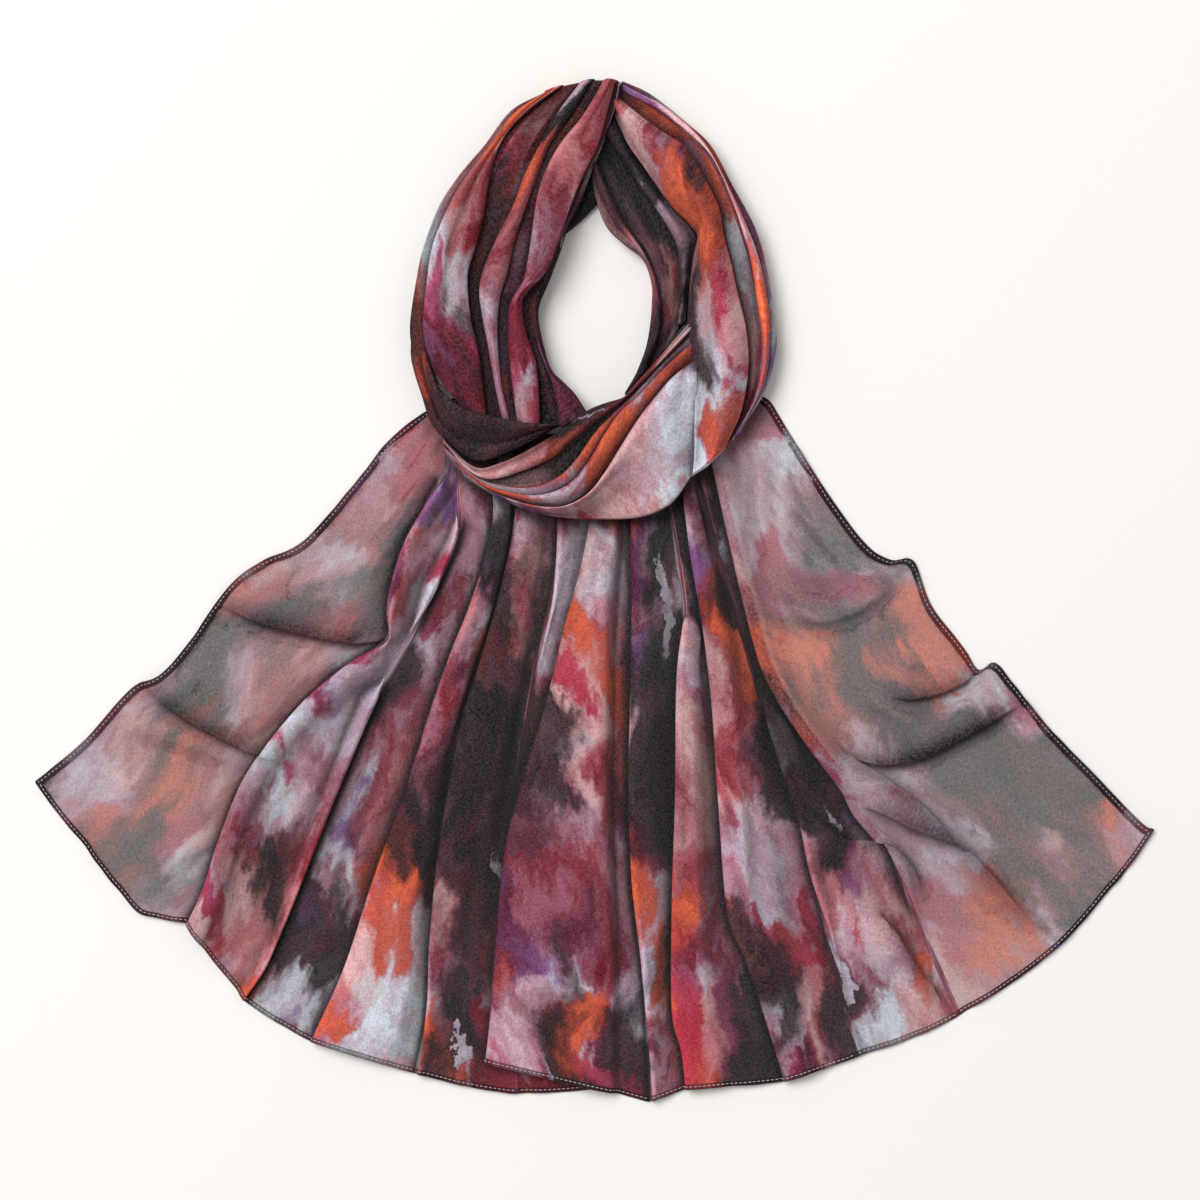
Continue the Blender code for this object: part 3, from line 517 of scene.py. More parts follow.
def crease_field(places, creases):
    """What all the creases add to each place (x, y): a height, a push over the steep side that
    makes a sharp fold hang over itself, and the light left where its layers gather, painted shade
    that darkens the print there."""
    lift, light = np.zeros(len(places)), np.ones(len(places))
    push = np.zeros((len(places), 2))
    for crease in creases:
        line = smooth_path(crease.path, CREASE_PLACES)
        soft, steep = max(crease.left, crease.right), min(crease.left, crease.right)
        reach = 3 * soft
        near = np.all((places > line.min(axis=0) - reach) & (places < line.max(axis=0) + reach),
                      axis=1)
        steps = np.diff(line, axis=0)
        offset = places[near][:, None, :] - line[:-1]
        t = np.clip(np.sum(offset * steps, axis=2) / np.sum(steps ** 2, axis=1), 0.0, 1.0)
        gap = offset - steps * t[..., None]
        away = np.linalg.norm(gap, axis=2)
        best = np.argmin(away, axis=1)
        rows = np.arange(len(best))
        along = (best + t[rows, best]) / len(steps)
        away, gap, step = away[rows, best], gap[rows, best], steps[best]
        steep_way = 1.0 if crease.left < crease.right else -1.0
        on_steep = (step[:, 0] * gap[:, 1] - step[:, 1] * gap[:, 0]) * steep_way > 0
        fade = ramp(along, 0.0, CREASE_FADE) * ramp(1 - along, 0.0, CREASE_FADE)
        lift[near] += crease.height * fade * bell(away, np.where(on_steep, steep, soft))
        if steep < SHARP_SIDE and crease.height >= SHARP_HEIGHT:
            over = steep + HANG_OVER * crease.height
            way = np.column_stack([-step[:, 1], step[:, 0]]) * steep_way
            way /= np.linalg.norm(way, axis=1, keepdims=True)
            wide = np.where(on_steep, HANG_WIDTHS[0] * steep, HANG_WIDTHS[1] * soft)
            push[near] += way * (over * fade * bell(away, wide))[:, None]
            # Painted shade: the print darkens where the crease's layers gather under its overhang.
            wide = np.where(on_steep, GATHER_SHADE_WIDTHS[0] * over, GATHER_SHADE_WIDTHS[1] * soft)
            lost = min(GATHER_SHADE_MOST, GATHER_PAINTED_SHADE * crease.height)
            light[near] *= 1 - lost * fade * bell(away, wide)
    return lift, push, light


def label_panels(shown, panel):
    """The panel of each point of a fold, -1 where it is hidden, and the panel that follows."""
    labels, hidden = [], False
    for seen in shown:
        panel += seen and hidden
        labels.append(panel if seen else -1)
        hidden = not seen
    return labels, panel + hidden


def column_panels(panels, subs):
    """The panel of each fine column; one that lies between two panels belongs to none."""
    columns = []
    for here, after, sub in zip(panels, [*panels[1:], panels[0]], subs):
        columns += [here] + [here if here == after else -1] * (sub - 1)
    return columns


# ---- The two ends ----
def pleat_points(depth, crest, opening, hold):
    """One pleat that faces left, as (distance right of its edge, height) along the cloth. hold is
    the share of its height that the panel keeps just beyond it."""
    middle = LOW + LAYER_PITCH
    half_turn = LAYER_PITCH / 2
    radius = max(half_turn, min((crest - middle) / 2, ROLL_SHARE * depth))
    top = middle + 2 * radius
    folded = np.array([
        (0.0, LOW), (depth - half_turn, LOW), (depth, LOW + half_turn),
        (depth - half_turn, middle), (radius, middle), (0.0, middle + radius), (radius, top),
        (max(depth, radius) + CREST_FLAT, top - CREST_DROP * (1 - hold) * (top - LOW)),
        (max(depth, radius) + FALL, LOW + hold * (top - LOW))])
    flat = np.full(folded.shape, LOW)
    flat[:, 0] = np.linspace(-OPEN_BACK, FALL - OPEN_BACK, len(folded))
    rise = min(1.0, opening / RISE_SHARE)
    slide = max(0.0, (opening - RISE_SHARE) / (1 - RISE_SHARE))
    return flat + (folded - flat) * (slide, rise)


def turned_points(cover, crest):
    """A folded-under edge that lies over another layer as far as cover."""
    middle = LOW + OVER_PITCH
    radius = max(LAYER_PITCH / 2, min((crest - middle) / 2, TURNED_ROLL))
    top = middle + 2 * radius
    return [(0.5 * cover, middle), (radius, middle), (0.0, middle + radius), (radius, top),
            (0.5 * cover, top), (cover, top), (cover + FALL, LOW)]


def fold_across(rows, k, v, widths, cover):
    """Fold k of an end: its points (distance beyond its edge, height) and which of them show."""
    row = rows[k]
    crest = three_point(row.crest, v)
    if row.kind in ("edge", "ease"):
        return [(0.0, LOW + crest)], [True]
    if row.kind == "turned":
        return turned_points(cover, crest), TURNED_SHOWN
    if row.kind == "right":
        room = widths[k - 1] * (1 - FACING_SHARE)
    else:
        room = widths[k] * (FACING_SHARE if rows[k + 1].kind == "right" else 1)
    depth = min(three_point(row.depth, v), max(0.0, room - PLEAT_SPACE))
    opening = ramp(depth, FLAT_DEPTH, FOLD_STARTS)
    hold = PANEL_HOLD if row.kind == "left" else 0.0
    points = pleat_points(max(depth, LEAST_DEPTH), crest, opening, hold)
    if row.kind == "right":
        return points[::-1] * (-1.0, 1.0), PLEAT_SHOWN[::-1]
    return points, PLEAT_SHOWN


def panel_mids(start, end, v):
    """Points of the cloth between two folds: it sinks away from the first one, and near the hem it
    bows out between both."""
    wide = np.linalg.norm(end - start)
    mids = []
    for i in range(PANEL_MIDS):
        share = (i + 1) / (PANEL_MIDS + 1)
        middle = start + (end - start) * share
        middle[2] = end[2] + (start[2] - end[2]) * (1 - share) ** PANEL_SAG
        out = middle[:2] - np.array(FAN_CENTRE)
        bow = HEM_BOW * share * (1 - share) * wide * min(1.0, wide / BOW_FULL)
        out *= bow / np.linalg.norm(out)
        middle[:2] += out * ramp(v, *BOW_ZONE)
        mids.append(middle)
    return mids


def tail_section(rows, places, v, covered):
    """The cloth's path across one end: places (x, y, z), the panel of each (-1 where it is hidden
    in a fold) and the columns of each span."""
    steps = np.diff(places, axis=0)
    widths = np.linalg.norm(steps, axis=1)
    ways = steps / widths[:, None]
    path, panels, subs = [], [], []
    panel = 0
    for k, row in enumerate(rows):
        way = ways[k - 1 if row.kind == "right" else min(k, len(ways) - 1)]
        cover = np.linalg.norm(covered - places[k]) + OVERLAP_MARGIN
        points, shown = fold_across(rows, k, v, widths, cover)
        group = [np.array([*(places[k] + way * across), height]) for across, height in points]
        if path:
            path += panel_mids(path[-1], group[0], v)
            panels += [panel] * PANEL_MIDS
            sheer = row.name != HIDDEN and {"edge", "ease"} & {row.kind, rows[k - 1].kind}
            subs += [SIDE_SUB if sheer else PANEL_SUB] * (PANEL_MIDS + 1)
        labels, panel = label_panels(shown, panel)
        path += group
        panels += labels
        subs += [FOLD_SUB] * (len(group) - 1)
    if panels[0] == -1:
        panels = [p - 1 if p > 0 else p for p in panels]
    return path, panels, subs


def cloth_across(rows, panels, first_edge):
    """Where each column lies across the flat cut, and the painted shade and highlights that its
    folds give it. A panel keeps its width of cloth all the way, and the cloth left over is in the
    hidden parts of the folds."""
    lengths = run_along(rows)
    hem = lengths[-1]
    runs = [np.flatnonzero(panels == p) for p in sorted(set(panels)) if p >= 0]
    spare = (CLOTH_WIDTH - hem[-1]) / max(1, len(runs) - 1 + (not first_edge))
    across = np.full(lengths.shape, np.nan)
    for i, run in enumerate(runs):
        if i == 0 and first_edge:
            anchor, value = 0, 0.0
        elif i == len(runs) - 1:
            anchor, value = lengths.shape[1] - 1, CLOTH_WIDTH
        else:
            anchor = (run[0] + run[-1]) // 2
            value = hem[anchor] + spare * (i if first_edge else i + 1)
        across[:, run] = value + lengths[:, run] - lengths[:, [anchor]]
    if not first_edge:
        across[:, 0] = 0.0
    for row, length in zip(across, lengths):
        known = ~np.isnan(row)
        row[:] = np.interp(length, length[known], row[known])
    return across, fold_light(rows, lengths, runs)


def fold_light(rows, lengths, runs):
    """Painted light beside each fold: a painted highlight on its edge, painted shade where it goes
    under.
    """
    light = np.ones(lengths.shape)
    glow, glow_in, glow_width = EDGE_GLOW
    for before, after in zip(runs, runs[1:]):
        near = before[-FOLD_REACH:], after[:FOLD_REACH]
        tops = [rows[:, run, 2].max(axis=1) for run in near]
        ends = before[-1], after[0]
        for this, run in enumerate((before, after)):
            that = 1 - this
            gap = np.abs(lengths[:, run] - lengths[:, [ends[this]]])
            above = np.clip((tops[that] - rows[:, ends[this], 2]) / FULL_STEP, 0, 1)
            below = np.clip((tops[this] - rows[:, ends[that], 2]) / FULL_STEP, 0, 1)
            above, below = above * (tops[that] > tops[this]), below * (tops[this] > tops[that])
            dim = sum(share * bell(gap, width) for share, width in FOLD_DIMS)
            light[:, run] *= 1 - above[:, None] * dim
            below = below * np.clip(gap.max(axis=1) / WIDE_PANEL, 0, 1)
            light[:, run] *= 1 + glow * below[:, None] * bell(gap - glow_in, glow_width)
    return light


def tail_surface(rows):
    """The fine surface of one end, the place of each point across the flat cut, the panel of each
    column and the painted shade and highlights of its creases and folds at each point."""
    lines = [smooth_path(row.path, TAIL_STATIONS) for row in rows]
    hidden = smooth_path(TAIL_LEFT[-1].path, TAIL_STATIONS)
    down = np.linspace(0.0, 1.0, TAIL_STATIONS)
    sections = []
    for places, v, covered in zip(np.stack(lines, axis=1), down, hidden):
        path, panels, subs = tail_section(rows, places, v, covered)
        sections.append(path)
    surface = refine(np.array(sections), subs)
    panels = np.array(column_panels(panels, subs) + [panels[-1]])
    across, beside = cloth_across(surface, panels, rows[0].kind == "edge")
    flat = surface[:, :, :2].reshape(-1, 2)
    x, y = flat.T
    lift, push, light = crease_field(flat, CREASES)
    out_x, out_y = x - FAN_CENTRE[0], y - FAN_CENTRE[1]
    angle, radius = np.arctan2(out_x, -out_y), np.hypot(out_x, out_y)
    for height, waves, shift, length, seed in FAN_WAVES:
        lift += height * (1 + soft_noise(angle * waves + shift, radius / length, seed))
    for height, x_size, y_size, seed in SOFT_WAVES:
        lift += height * (1 + soft_noise(x / x_size, y / y_size, seed))
    height, x_size, y_size, seed = HEM_WAVE
    shape = surface.shape[:2]
    down = down[:, None]
    hem_wave = height * (1 + soft_noise(x / x_size, y / y_size, seed)).reshape(shape)
    lift = lift.reshape(shape) + ramp(down, *HEM_ZONE) * hem_wave - SETTLE
    fade = ramp(down, *TOP_FADE)
    surface[:, :, 2] = np.maximum(surface[:, :, 2] + fade * lift, LOWEST)
    surface[:, :, :2] += push.reshape(*shape, 2) * fade[..., None]
    # The painted shade of the creases, times the painted shade and highlights of the folds.
    return surface, across, panels, light.reshape(shape) * (1 + fade * (beside - 1))


# ---- Meshes ----
def new_mesh(name, points, faces, maps=None, slots=None):
    """A smooth-shaded object from points in millimetres, faces, maps by name given per point or per
    corner, and a material slot for each face."""
    data = bpy.data.meshes.new(name)
    data.from_pydata((np.asarray(points) * MM).tolist(), [], faces)
    for key, values in (maps or {}).items():
        layer = data.uv_layers.new(name=key)
        if len(values) == len(points):
            values = values[read(data.loops, "vertex_index", 1, int)]
        layer.data.foreach_set("uv", np.asarray(values, dtype=np.float32).ravel())
    if slots is not None:
        data.polygons.foreach_set("material_index", np.asarray(slots, dtype=np.int32))
    data.polygons.foreach_set("use_smooth", [True] * len(data.polygons))
    data.update()
    thing = bpy.data.objects.new(name, data)
    bpy.context.scene.collection.objects.link(thing)
    return thing


def read(items, key, size=3, kind=float):
    """One property of all the vertices, corners or map points of a mesh."""
    values = np.empty(len(items) * size, dtype=kind)
    items.foreach_get(key, values)
    return values.reshape(-1, size) if size > 1 else values


def grid_faces(rows, columns):
    index = np.arange(rows * columns).reshape(rows, columns)
    return np.stack([index[:-1, :-1], index[1:, :-1], index[1:, 1:], index[:-1, 1:]],
                    axis=2).reshape(-1, 4).tolist()


def tube_faces(rings, sides, first=0):
    """Faces round a tube, whose rings of points start at index first, and then its two caps."""
    index = first + np.arange(rings * sides).reshape(rings, sides)
    turned = np.roll(index, -1, axis=1)
    around = np.stack([index[:-1], turned[:-1], turned[1:], index[1:]], axis=2)
    return around.reshape(-1, 4).tolist() + [index[0].tolist(), index[-1, ::-1].tolist()]


def tube_corners(values):
    """What a tube's grid of values holds at the corners of each face; its last column closes it."""
    return np.stack([values[:-1, :-1], values[:-1, 1:], values[1:, 1:], values[1:, :-1]], axis=2)


def upward_normals(surface, column=None):
    """The normal at each point of a grid, turned so that it points up halfway along: at the column
    given, or on the mean of all."""
    normal = np.cross(np.gradient(surface, axis=0), np.gradient(surface, axis=1))
    normal /= np.maximum(np.linalg.norm(normal, axis=2, keepdims=True), 1e-9)
    halfway = normal[len(surface) // 2, :, 2]
    return -normal if (halfway.mean() if column is None else halfway[column]) < 0 else normal


def hem_mesh(points, inward, normal, seed, wide):
    """A double-turned hem along an edge: a flat tube round the cloth's edge."""
    along = run_along(points)
    (plump, plump_length), (wander, wander_length) = HEM_PLUMP, HEM_WANDER
    plump = 1.0 + plump * soft_noise(along / plump_length, along * 0, seed)
    wander = wander * soft_noise(along / wander_length, along * 0, seed + 1)
    rings = [points + inward * (wide * w + wander)[:, None] + normal * (t * plump)[:, None]
             for w, t in HEM_SECTION]
    verts = np.stack(rings, axis=1).reshape(-1, 3)
    verts[:, 2] = np.maximum(verts[:, 2], HEM_LOWEST)
    return tube_faces(len(points), len(HEM_SECTION)), verts


def stitch_mesh(points, inward, normal, shown):
    """Sewing stitches along a hem, as short rounded threads that dip at both ends."""
    along = run_along(points)
    share, height, size = np.array(STITCH_RINGS).T
    turn = [math.tau * k / STITCH_SIDES for k in range(STITCH_SIDES)]
    across, up = (size[:, None] * STITCH_RADIUS * np.array(part)
                  for part in (np.cos(turn), STITCH_FLAT * np.sin(turn)))
    faces, verts = [], []
    for centre in np.arange(STITCH_START, along[-1] - STITCH_LENGTH, STITCH_PITCH):
        if shown[np.searchsorted(along, centre)]:
            places = centre + STITCH_LENGTH * share
            line, way, rise = (read_at(places, along, values)
                               for values in (points, inward, normal))
            middle = line + way * STITCH_INSET + rise * (STITCH_HEIGHT + height)[:, None]
            faces += tube_faces(len(share), STITCH_SIDES, len(verts) * len(share) * STITCH_SIDES)
            verts.append(middle[:, None] + way[:, None] * across[..., None]
                         + rise[:, None] * up[..., None])
    return faces, np.array(verts).reshape(-1, 3)


def joined(parts):
    """Several meshes, each its faces and then what it has for each point, as one."""
    faces, count = [], 0
    for part_faces, points, *_ in parts:
        faces += [[i + count for i in face] for face in part_faces]
        count += len(points)
    return [faces] + [np.vstack(column) for column in list(zip(*parts))[1:]]


# ---- The loop ----
def side_points(place, way, width, base, height, v, seed):
    """Stacked rounded layers up one side of the loop, from the table to the shoulder."""
    inset = min(1.0, width / NARROW)
    change, along, onward = LAYER_UNEVEN
    uneven = [1.0 + change * math.sin(along * v * (j + 2) + seed + onward * j)
              for j in range(LAYERS)]
    heights = base + (height - base) * np.concatenate([[0.0], np.cumsum(uneven)]) / sum(uneven)
    points = [(SIDE_INSETS[0], base + FOOT_HEIGHT)]
    mean, change, along, onward = LAYER_BULGE
    for j in range(LAYERS):
        bulge = mean + change * math.sin(along * v + onward * j + seed)
        points += [(bulge, (heights[j] + heights[j + 1]) / 2),
                   (bulge + CREASE_DEPTH, heights[j + 1])]
    points[-1] = (SIDE_INSETS[1], height)
    return [(*(place + way * across * inset), z) for across, z in points]


def lap_points(row, place, way_in, way_out, room, height):
    """A fold on the loop's top: the upper cloth's rounded edge laps over the lower cloth."""
    step = max(LAP_DEEPER * row.step * min(1.0, room / LAP_ROOM), LAP_LEAST)
    if row.kind in ("dip", "ease"):
        return [(*place, height - step if row.kind == "dip" else height)], [True]
    tuck = min(TUCK, TUCK_SHARE * room)
    gap = GAP_SHARE * step
    radius = min((step - gap) / 2, LAP_ROUND[0] * room + LAP_ROUND[1])
    way, low = way_out if row.kind == "in" else -way_in, height - step
    points = [(tuck, low), (tuck + LAP_BACK, low + gap / 2), (tuck, low + gap), (radius, low + gap),
              (0.0, low + gap + (step - gap) / 2), (radius, height)]
    points = [(*(place + way * across), z) for across, z in points]
    shown = [False, False, False, False, True, True]
    return (points, shown) if row.kind == "in" else (points[::-1], shown[::-1])


def loop_section(rows, places, v, base, seed, drop):
    """A closed section across a strand: flat below, layered sides, lapped folds on top."""
    steps = np.diff(places, axis=0)
    widths = np.maximum(np.linalg.norm(steps, axis=1), 1e-3)
    ways = steps / widths[:, None]
    heights = [base + (three_point(row.height, v) - base) * drop for row in rows]
    across = widths.sum()
    first = side_points(places[0], ways[0], across, base, heights[0], v, seed)
    last = side_points(places[-1], -ways[-1], across, base, heights[-1], v, seed + 3.0)[::-1]
    laps = [lap_points(rows[k], places[k], *ways[k - 1:k + 1], min(widths[k - 1:k + 1]), heights[k])
            for k in range(1, len(rows) - 1)]
    groups = [(first, [True] * len(first)), *laps, (last, [True] * len(last))]
    section, panels, subs = [], [], []
    panel = 0
    for k, (group, seen) in enumerate(groups):
        labels, panel = label_panels(seen, panel)
        section += group
        panels += labels
        subs += [SPAN_SUBS["fold"]] * (len(group) - 1)
        if k + 1 < len(groups):
            start, end = np.array(group[-1]), np.array(groups[k + 1][0][0])
            puff = (0.0, 0.0, PUFF * min(1.0, widths[k] / PUFF_WIDTH))
            section += [tuple(start + (end - start) * share + puff) for share in PUFF_PLACES]
            panels += [panel] * len(PUFF_PLACES)
            subs += SPAN_SUBS["panel"]
    return section, panels, subs + [SPAN_SUBS["below"]]


def strand_light(rows, ids, across):
    """Painted light on each column of a strand: painted shade where it goes under a fold, a painted
    highlight on the fold.
    """
    light = np.ones(len(across))
    (dim, dim_width), (glow, glow_in, glow_width) = UNDER_FOLD, ON_FOLD
    for i, kind in enumerate(row.kind for row in rows if row.kind in ("in", "out")):
        before, after = np.flatnonzero(ids == i), np.flatnonzero(ids == i + 1)
        sides = [(before, across[before[-1] + 1] - across[before]),
                 (after, across[after] - across[after[0]])]
        (under, under_gap), (over, over_gap) = sides if kind == "in" else sides[::-1]
        light[under] *= 1 - dim * bell(under_gap, dim_width)
        light[over] *= 1 + glow * bell(over_gap - glow_in, glow_width)
    return light


# lifts: where a strand leaves the table, see above.
# ends: how it starts and ends: "roll", rounded down, or "on", runs on and is hidden; how far.
# sinks: how much lower it runs where it passes under others, at its start and its end.
# plan: panels whose print is laid as seen from above, with their shifts.
# dark: panels that turn darker between two shares of the strand's length, and how much.
Strand = namedtuple("Strand", "name rows stations lifts seed ends sinks plan dark slot dyes gain")


def extra_stations(lines, end, first):
    """Places beyond a strand's end, each with the share of its height that is left."""
    kind, size = end
    edge, inner = (np.array([line[i] for line in lines]) for i in ((0, 2) if first else (-1, -3)))
    if kind == "roll":
        way = np.mean(edge - inner, axis=0)
        way *= size / np.linalg.norm(way)
        made = [(edge + way * math.sin(turn), max(ROLL_LEAST, math.cos(turn)))
                for turn in map(math.radians, ROLL_TURNS)]
    else:
        onward = (edge - inner) * size / np.linalg.norm(edge - inner, axis=1, keepdims=True)
        made = [(edge + onward * share, 1.0) for share in RUN_ON]
    return made if first else made[::-1]


def strand_surface(strand):
    """A strand's closed rings of points and the panel of each column (-1 where it is hidden)."""
    lines = [smooth_path(row.path, strand.stations) for row in strand.rows]
    before, beyond = (extra_stations(lines, end, first) for end, first in zip(strand.ends, (1, 0)))
    rings = [(places, 0.0, drop) for places, drop in before]
    for s, places in enumerate(np.stack(lines, axis=1)):
        rings.append((places, s / (strand.stations - 1), 1.0))
    rings += [(places, 1.0, drop) for places, drop in beyond]
    sections = []
    for places, v, drop in rings:
        sink = 1.0 - strand.sinks[0] * ramp(v, *SINK_START) - strand.sinks[1] * ramp(v, *SINK_END)
        base = MOUTH_CLEAR * ramp(v, *strand.lifts)
        section, panels, subs = loop_section(strand.rows, places, v, base, strand.seed, drop * sink)
        if drop < 1.0:
            section = [(x, y, z * min(1.0, drop * ROLL_DROP)) for x, y, z in section]
        sections.append(section)
    surface = refine(np.array(sections), subs, closed=True)
    low = surface[[0, -1]].copy()
    level = low[:, :, 2].min(axis=1)[:, None]
    low[:, :, 2] = level + END_FLAT * (low[:, :, 2] - level)
    return np.concatenate([low[:1], surface, low[1:]]), np.array(column_panels(panels, subs))


def build_strand(strand):
    """A strand's shell, with soft wrinkles along it and its print laid in cloth lengths."""
    surface, ids = strand_surface(strand)
    count, columns = surface.shape[:2]
    surface = np.concatenate([surface, surface[:, :1]], axis=1)
    across = run_along(surface).mean(axis=0)
    run = run_along(surface[:, :-1].mean(axis=1))
    tallest = np.argmax(surface[count // 2, :-1, 2])
    top = np.clip(upward_normals(surface, tallest)[:, :-1, 2], 0.0, 1.0)
    u, v = np.meshgrid(across, run)
    (high, wide, long), (fine_high, fine_wide, fine_long) = WRINKLES
    x, y = u[:, :-1], v[:, :-1]
    apart, on = (part * ids for part in PANEL_APART)
    wrinkle = high * soft_noise(x / wide + apart, y / long + on, strand.seed + 11)
    wrinkle += fine_high * soft_noise(x / fine_wide, y / fine_long, strand.seed + 12)
    height = surface[:, :-1, 2]
    wrinkle *= top * ramp(height - height.min(axis=1, keepdims=True), *WRINKLE_RISE)
    surface[:, :-1, 2] = np.maximum(height + wrinkle, TABLE_GAP)
    surface[:, -1] = surface[:, 0]

    cloth = tube_corners(np.stack([u, v], axis=2))
    baked = cloth / (across[-1], run[-1])
    jump = np.random.RandomState(strand.seed).uniform(0.0, JUMP_MOST, (JUMP_PANELS, 2))
    cloth = cloth + jump[ids][:, None]
    places = tube_corners(surface)
    # Painted shade and highlights of the folds, kept in the zone map.
    light = np.broadcast_to(strand_light(strand.rows, ids, across), u.shape)
    zone = tube_corners(np.stack([np.zeros(u.shape), light], axis=2))
    for panel, where in strand.plan.items():
        here = places[:, ids == panel]
        cloth[:, ids == panel] = here[..., :2] + where + here[..., 2:] * WALL_RUN
    for panel, (start, full, most) in strand.dark.items():
        zone[:, ids == panel, :, 0] = most * ramp(baked[:, ids == panel, :, 1], start, full)
    turn = np.linspace(0, math.tau, columns, endpoint=False)
    cap = CAP_SIZE * np.column_stack([np.cos(turn), np.sin(turn)]) + CAP_PLACE
    maps = {"OFBake": baked, "cloth": cloth / MAP_UNIT, "zone": zone}
    maps = {key: np.vstack([values.reshape(-1, 2), cap, cap]) for key, values in maps.items()}
    return new_mesh(strand.name + "_cloth", surface[:, :-1].reshape(-1, 3),
                    tube_faces(count, columns), maps)


# ---- Materials ----
SHEER_ALPHA = 0.66
PLEAT_ALPHA = 0.91
# The shaded copy of the sheer cloth is nearly opaque: it takes closed-up creases and deep painted
# shade.
GATHERED_SHADED_ALPHA = 0.95
SHEER_GAIN, PLEAT_GAIN, HEM_GAIN = 1.3, 1.2, 0.9
SHEER_SOFT = 1.7
HEM_DARKER = 0.62
DARK_ACROSS = (0.30, 0.42)  # the charcoal zone beside each selvedge, across and along the cut
DARK_FROM, DARK_TO = (0.15, 0.4), (0.95, 0.7)
PAINTED_PAPER_FROM = 0.3  # below this painted light, no painted light of the table is added
MOST_BRIGHT = 0.92  # no colour of the print is brighter
GATHERED_SHADED_LIGHT = 0.9  # sheer cloth with less painted light than this takes the nearly opaque shaded copy
PAINTED_PAPER_THROUGH = 0.09  # painted light of the white table seen through one sheer layer
ROLL_PALER = -2.0  # the rolled pleat beside the left panel has little charcoal
CLOTH_LOOK = {"Roughness": 0.78, "Specular IOR Level": 0.1, "Sheen Weight": 0.02,
              "Sheen Roughness": 0.45}
FLOOR_SIZE = 40000.0
FLOOR_LOOK = {"Base Color": (0.945, 0.925, 0.89, 1.0), "Roughness": 0.9, "Specular IOR Level": 0.1}

# How much of each dye a stretch of the cloth has: the noise level over which it shows.
Dyes = namedtuple("Dyes", "pale rose burgundy crimson orange plum charcoal")
# The blots of a dye: scale, seed and detail of their noise, and how far below and above its level
# they fade in.
BLOTS = {"pale": (1.3, 11.0, 1.5, 0.01, 0.08), "rose": (1.5, 17.0, 2.0, 0.01, 0.09),
         "crimson": (1.7, 29.0, 2.5, 0.01, 0.07), "burgundy": (1.15, 23.0, 2.5, 0.03, 0.06),
         "plum": (1.2, 37.0, 2.0, 0.01, 0.07)}
PALETTE = {"mauve": "a797a6", "dusty rose": "b68f8f", "pale blue": "b4bac4", "rust": "9a3a2c",
           "orange": "c25636", "dull orange": "a64531", "charcoal": "131317", "maroon": "34161f",
           "slate": "2a292f", "streak": "a49ba9", "light thread": "c9c3c4", "hem": "20171c",
           "stitch": "b9a6ab", "pale stitch": "d9cdcf"}
# What is left of the cloth's colour under a dye that multiplies it.
TINTS = {"mottle": (0.80, 0.56, 0.62), "rose": (0.90, 0.56, 0.60), "crimson": (0.72, 0.13, 0.24),
         "burgundy": (0.46, 0.12, 0.17), "plum": (0.34, 0.13, 0.42), "wash": (0.46, 0.30, 0.36)}


class Graph:
    """A small helper that adds and links shader nodes."""

    def __init__(self, name):
        self.material = bpy.data.materials.new(name)
        self.material.use_nodes = True
        self.tree = self.material.node_tree
        self.shader = self.tree.nodes["Principled BSDF"]

    def plug(self, node, inputs):
        """Links each input to a socket, or sets it to a value."""
        for key, value in inputs.items():
            if isinstance(value, bpy.types.NodeSocket):
                self.tree.links.new(value, node.inputs[key])
            else:
                node.inputs[key].default_value = value
        return node

    def add(self, kind, inputs, **settings):
        node = self.tree.nodes.new(kind)
        for key, value in settings.items():
            setattr(node, key, value)
        return self.plug(node, inputs)

    def uv(self, name):
        return self.add("ShaderNodeUVMap", {}, uv_map=name).outputs[0]

    def scaled(self, x, y, vector):
        return self.add("ShaderNodeMapping", {"Vector": vector, "Scale": (x, y, 1.0)}).outputs[0]

    def vector(self, operation, *values):
        inputs = dict(enumerate(values))
        return self.add("ShaderNodeVectorMath", inputs, operation=operation).outputs[0]

    def noise(self, vector, scale, seed, detail=2.0, rough=0.5, output="Fac"):
        moved = self.vector("ADD", vector, (7.3 * seed, 3.1 * seed, 0.0))
        inputs = {"Vector": moved, "Scale": scale, "Detail": detail, "Roughness": rough}
        return self.add("ShaderNodeTexNoise", inputs, noise_dimensions="2D").outputs[output]

    def band(self, value, low, high):
        """0 below low, 1 above high."""
        return self.add("ShaderNodeMapRange", {"Value": value, "From Min": low, "From Max": high},
                        interpolation_type="SMOOTHSTEP").outputs["Result"]

    def span(self, value, low, high, first, last):
        """first at low, last at high and straight between."""
        return self.add("ShaderNodeMapRange", {"Value": value, "From Min": low, "From Max": high,
                                               "To Min": first, "To Max": last}).outputs["Result"]

    def math(self, operation, a, b):
        return self.add("ShaderNodeMath", {0: a, 1: b}, operation=operation).outputs[0]

    def times(self, a, b):
        return self.math("MULTIPLY", a, b)

    def grey(self, value):
        return self.add("ShaderNodeCombineColor", {0: value, 1: value, 2: value}).outputs[0]

    def mix(self, share, a, b, blend="MIX"):
        a, b = (v if isinstance(v, bpy.types.NodeSocket) else (*v, 1.0) for v in (a, b))
        return self.add("ShaderNodeMix", {"Factor": share, 6: a, 7: b}, data_type="RGBA",
                        blend_type=blend).outputs[2]


def colour(code, gain=1.0):
    """Linear colour from a hex code."""
    parts = [int(code[i:i + 2], 16) / 255 for i in (0, 2, 4)]
    linear = [c / 12.92 if c <= 0.04045 else ((c + 0.055) / 1.055) ** 2.4 for c in parts]
    return tuple(min(MOST_BRIGHT, c * gain) for c in linear)


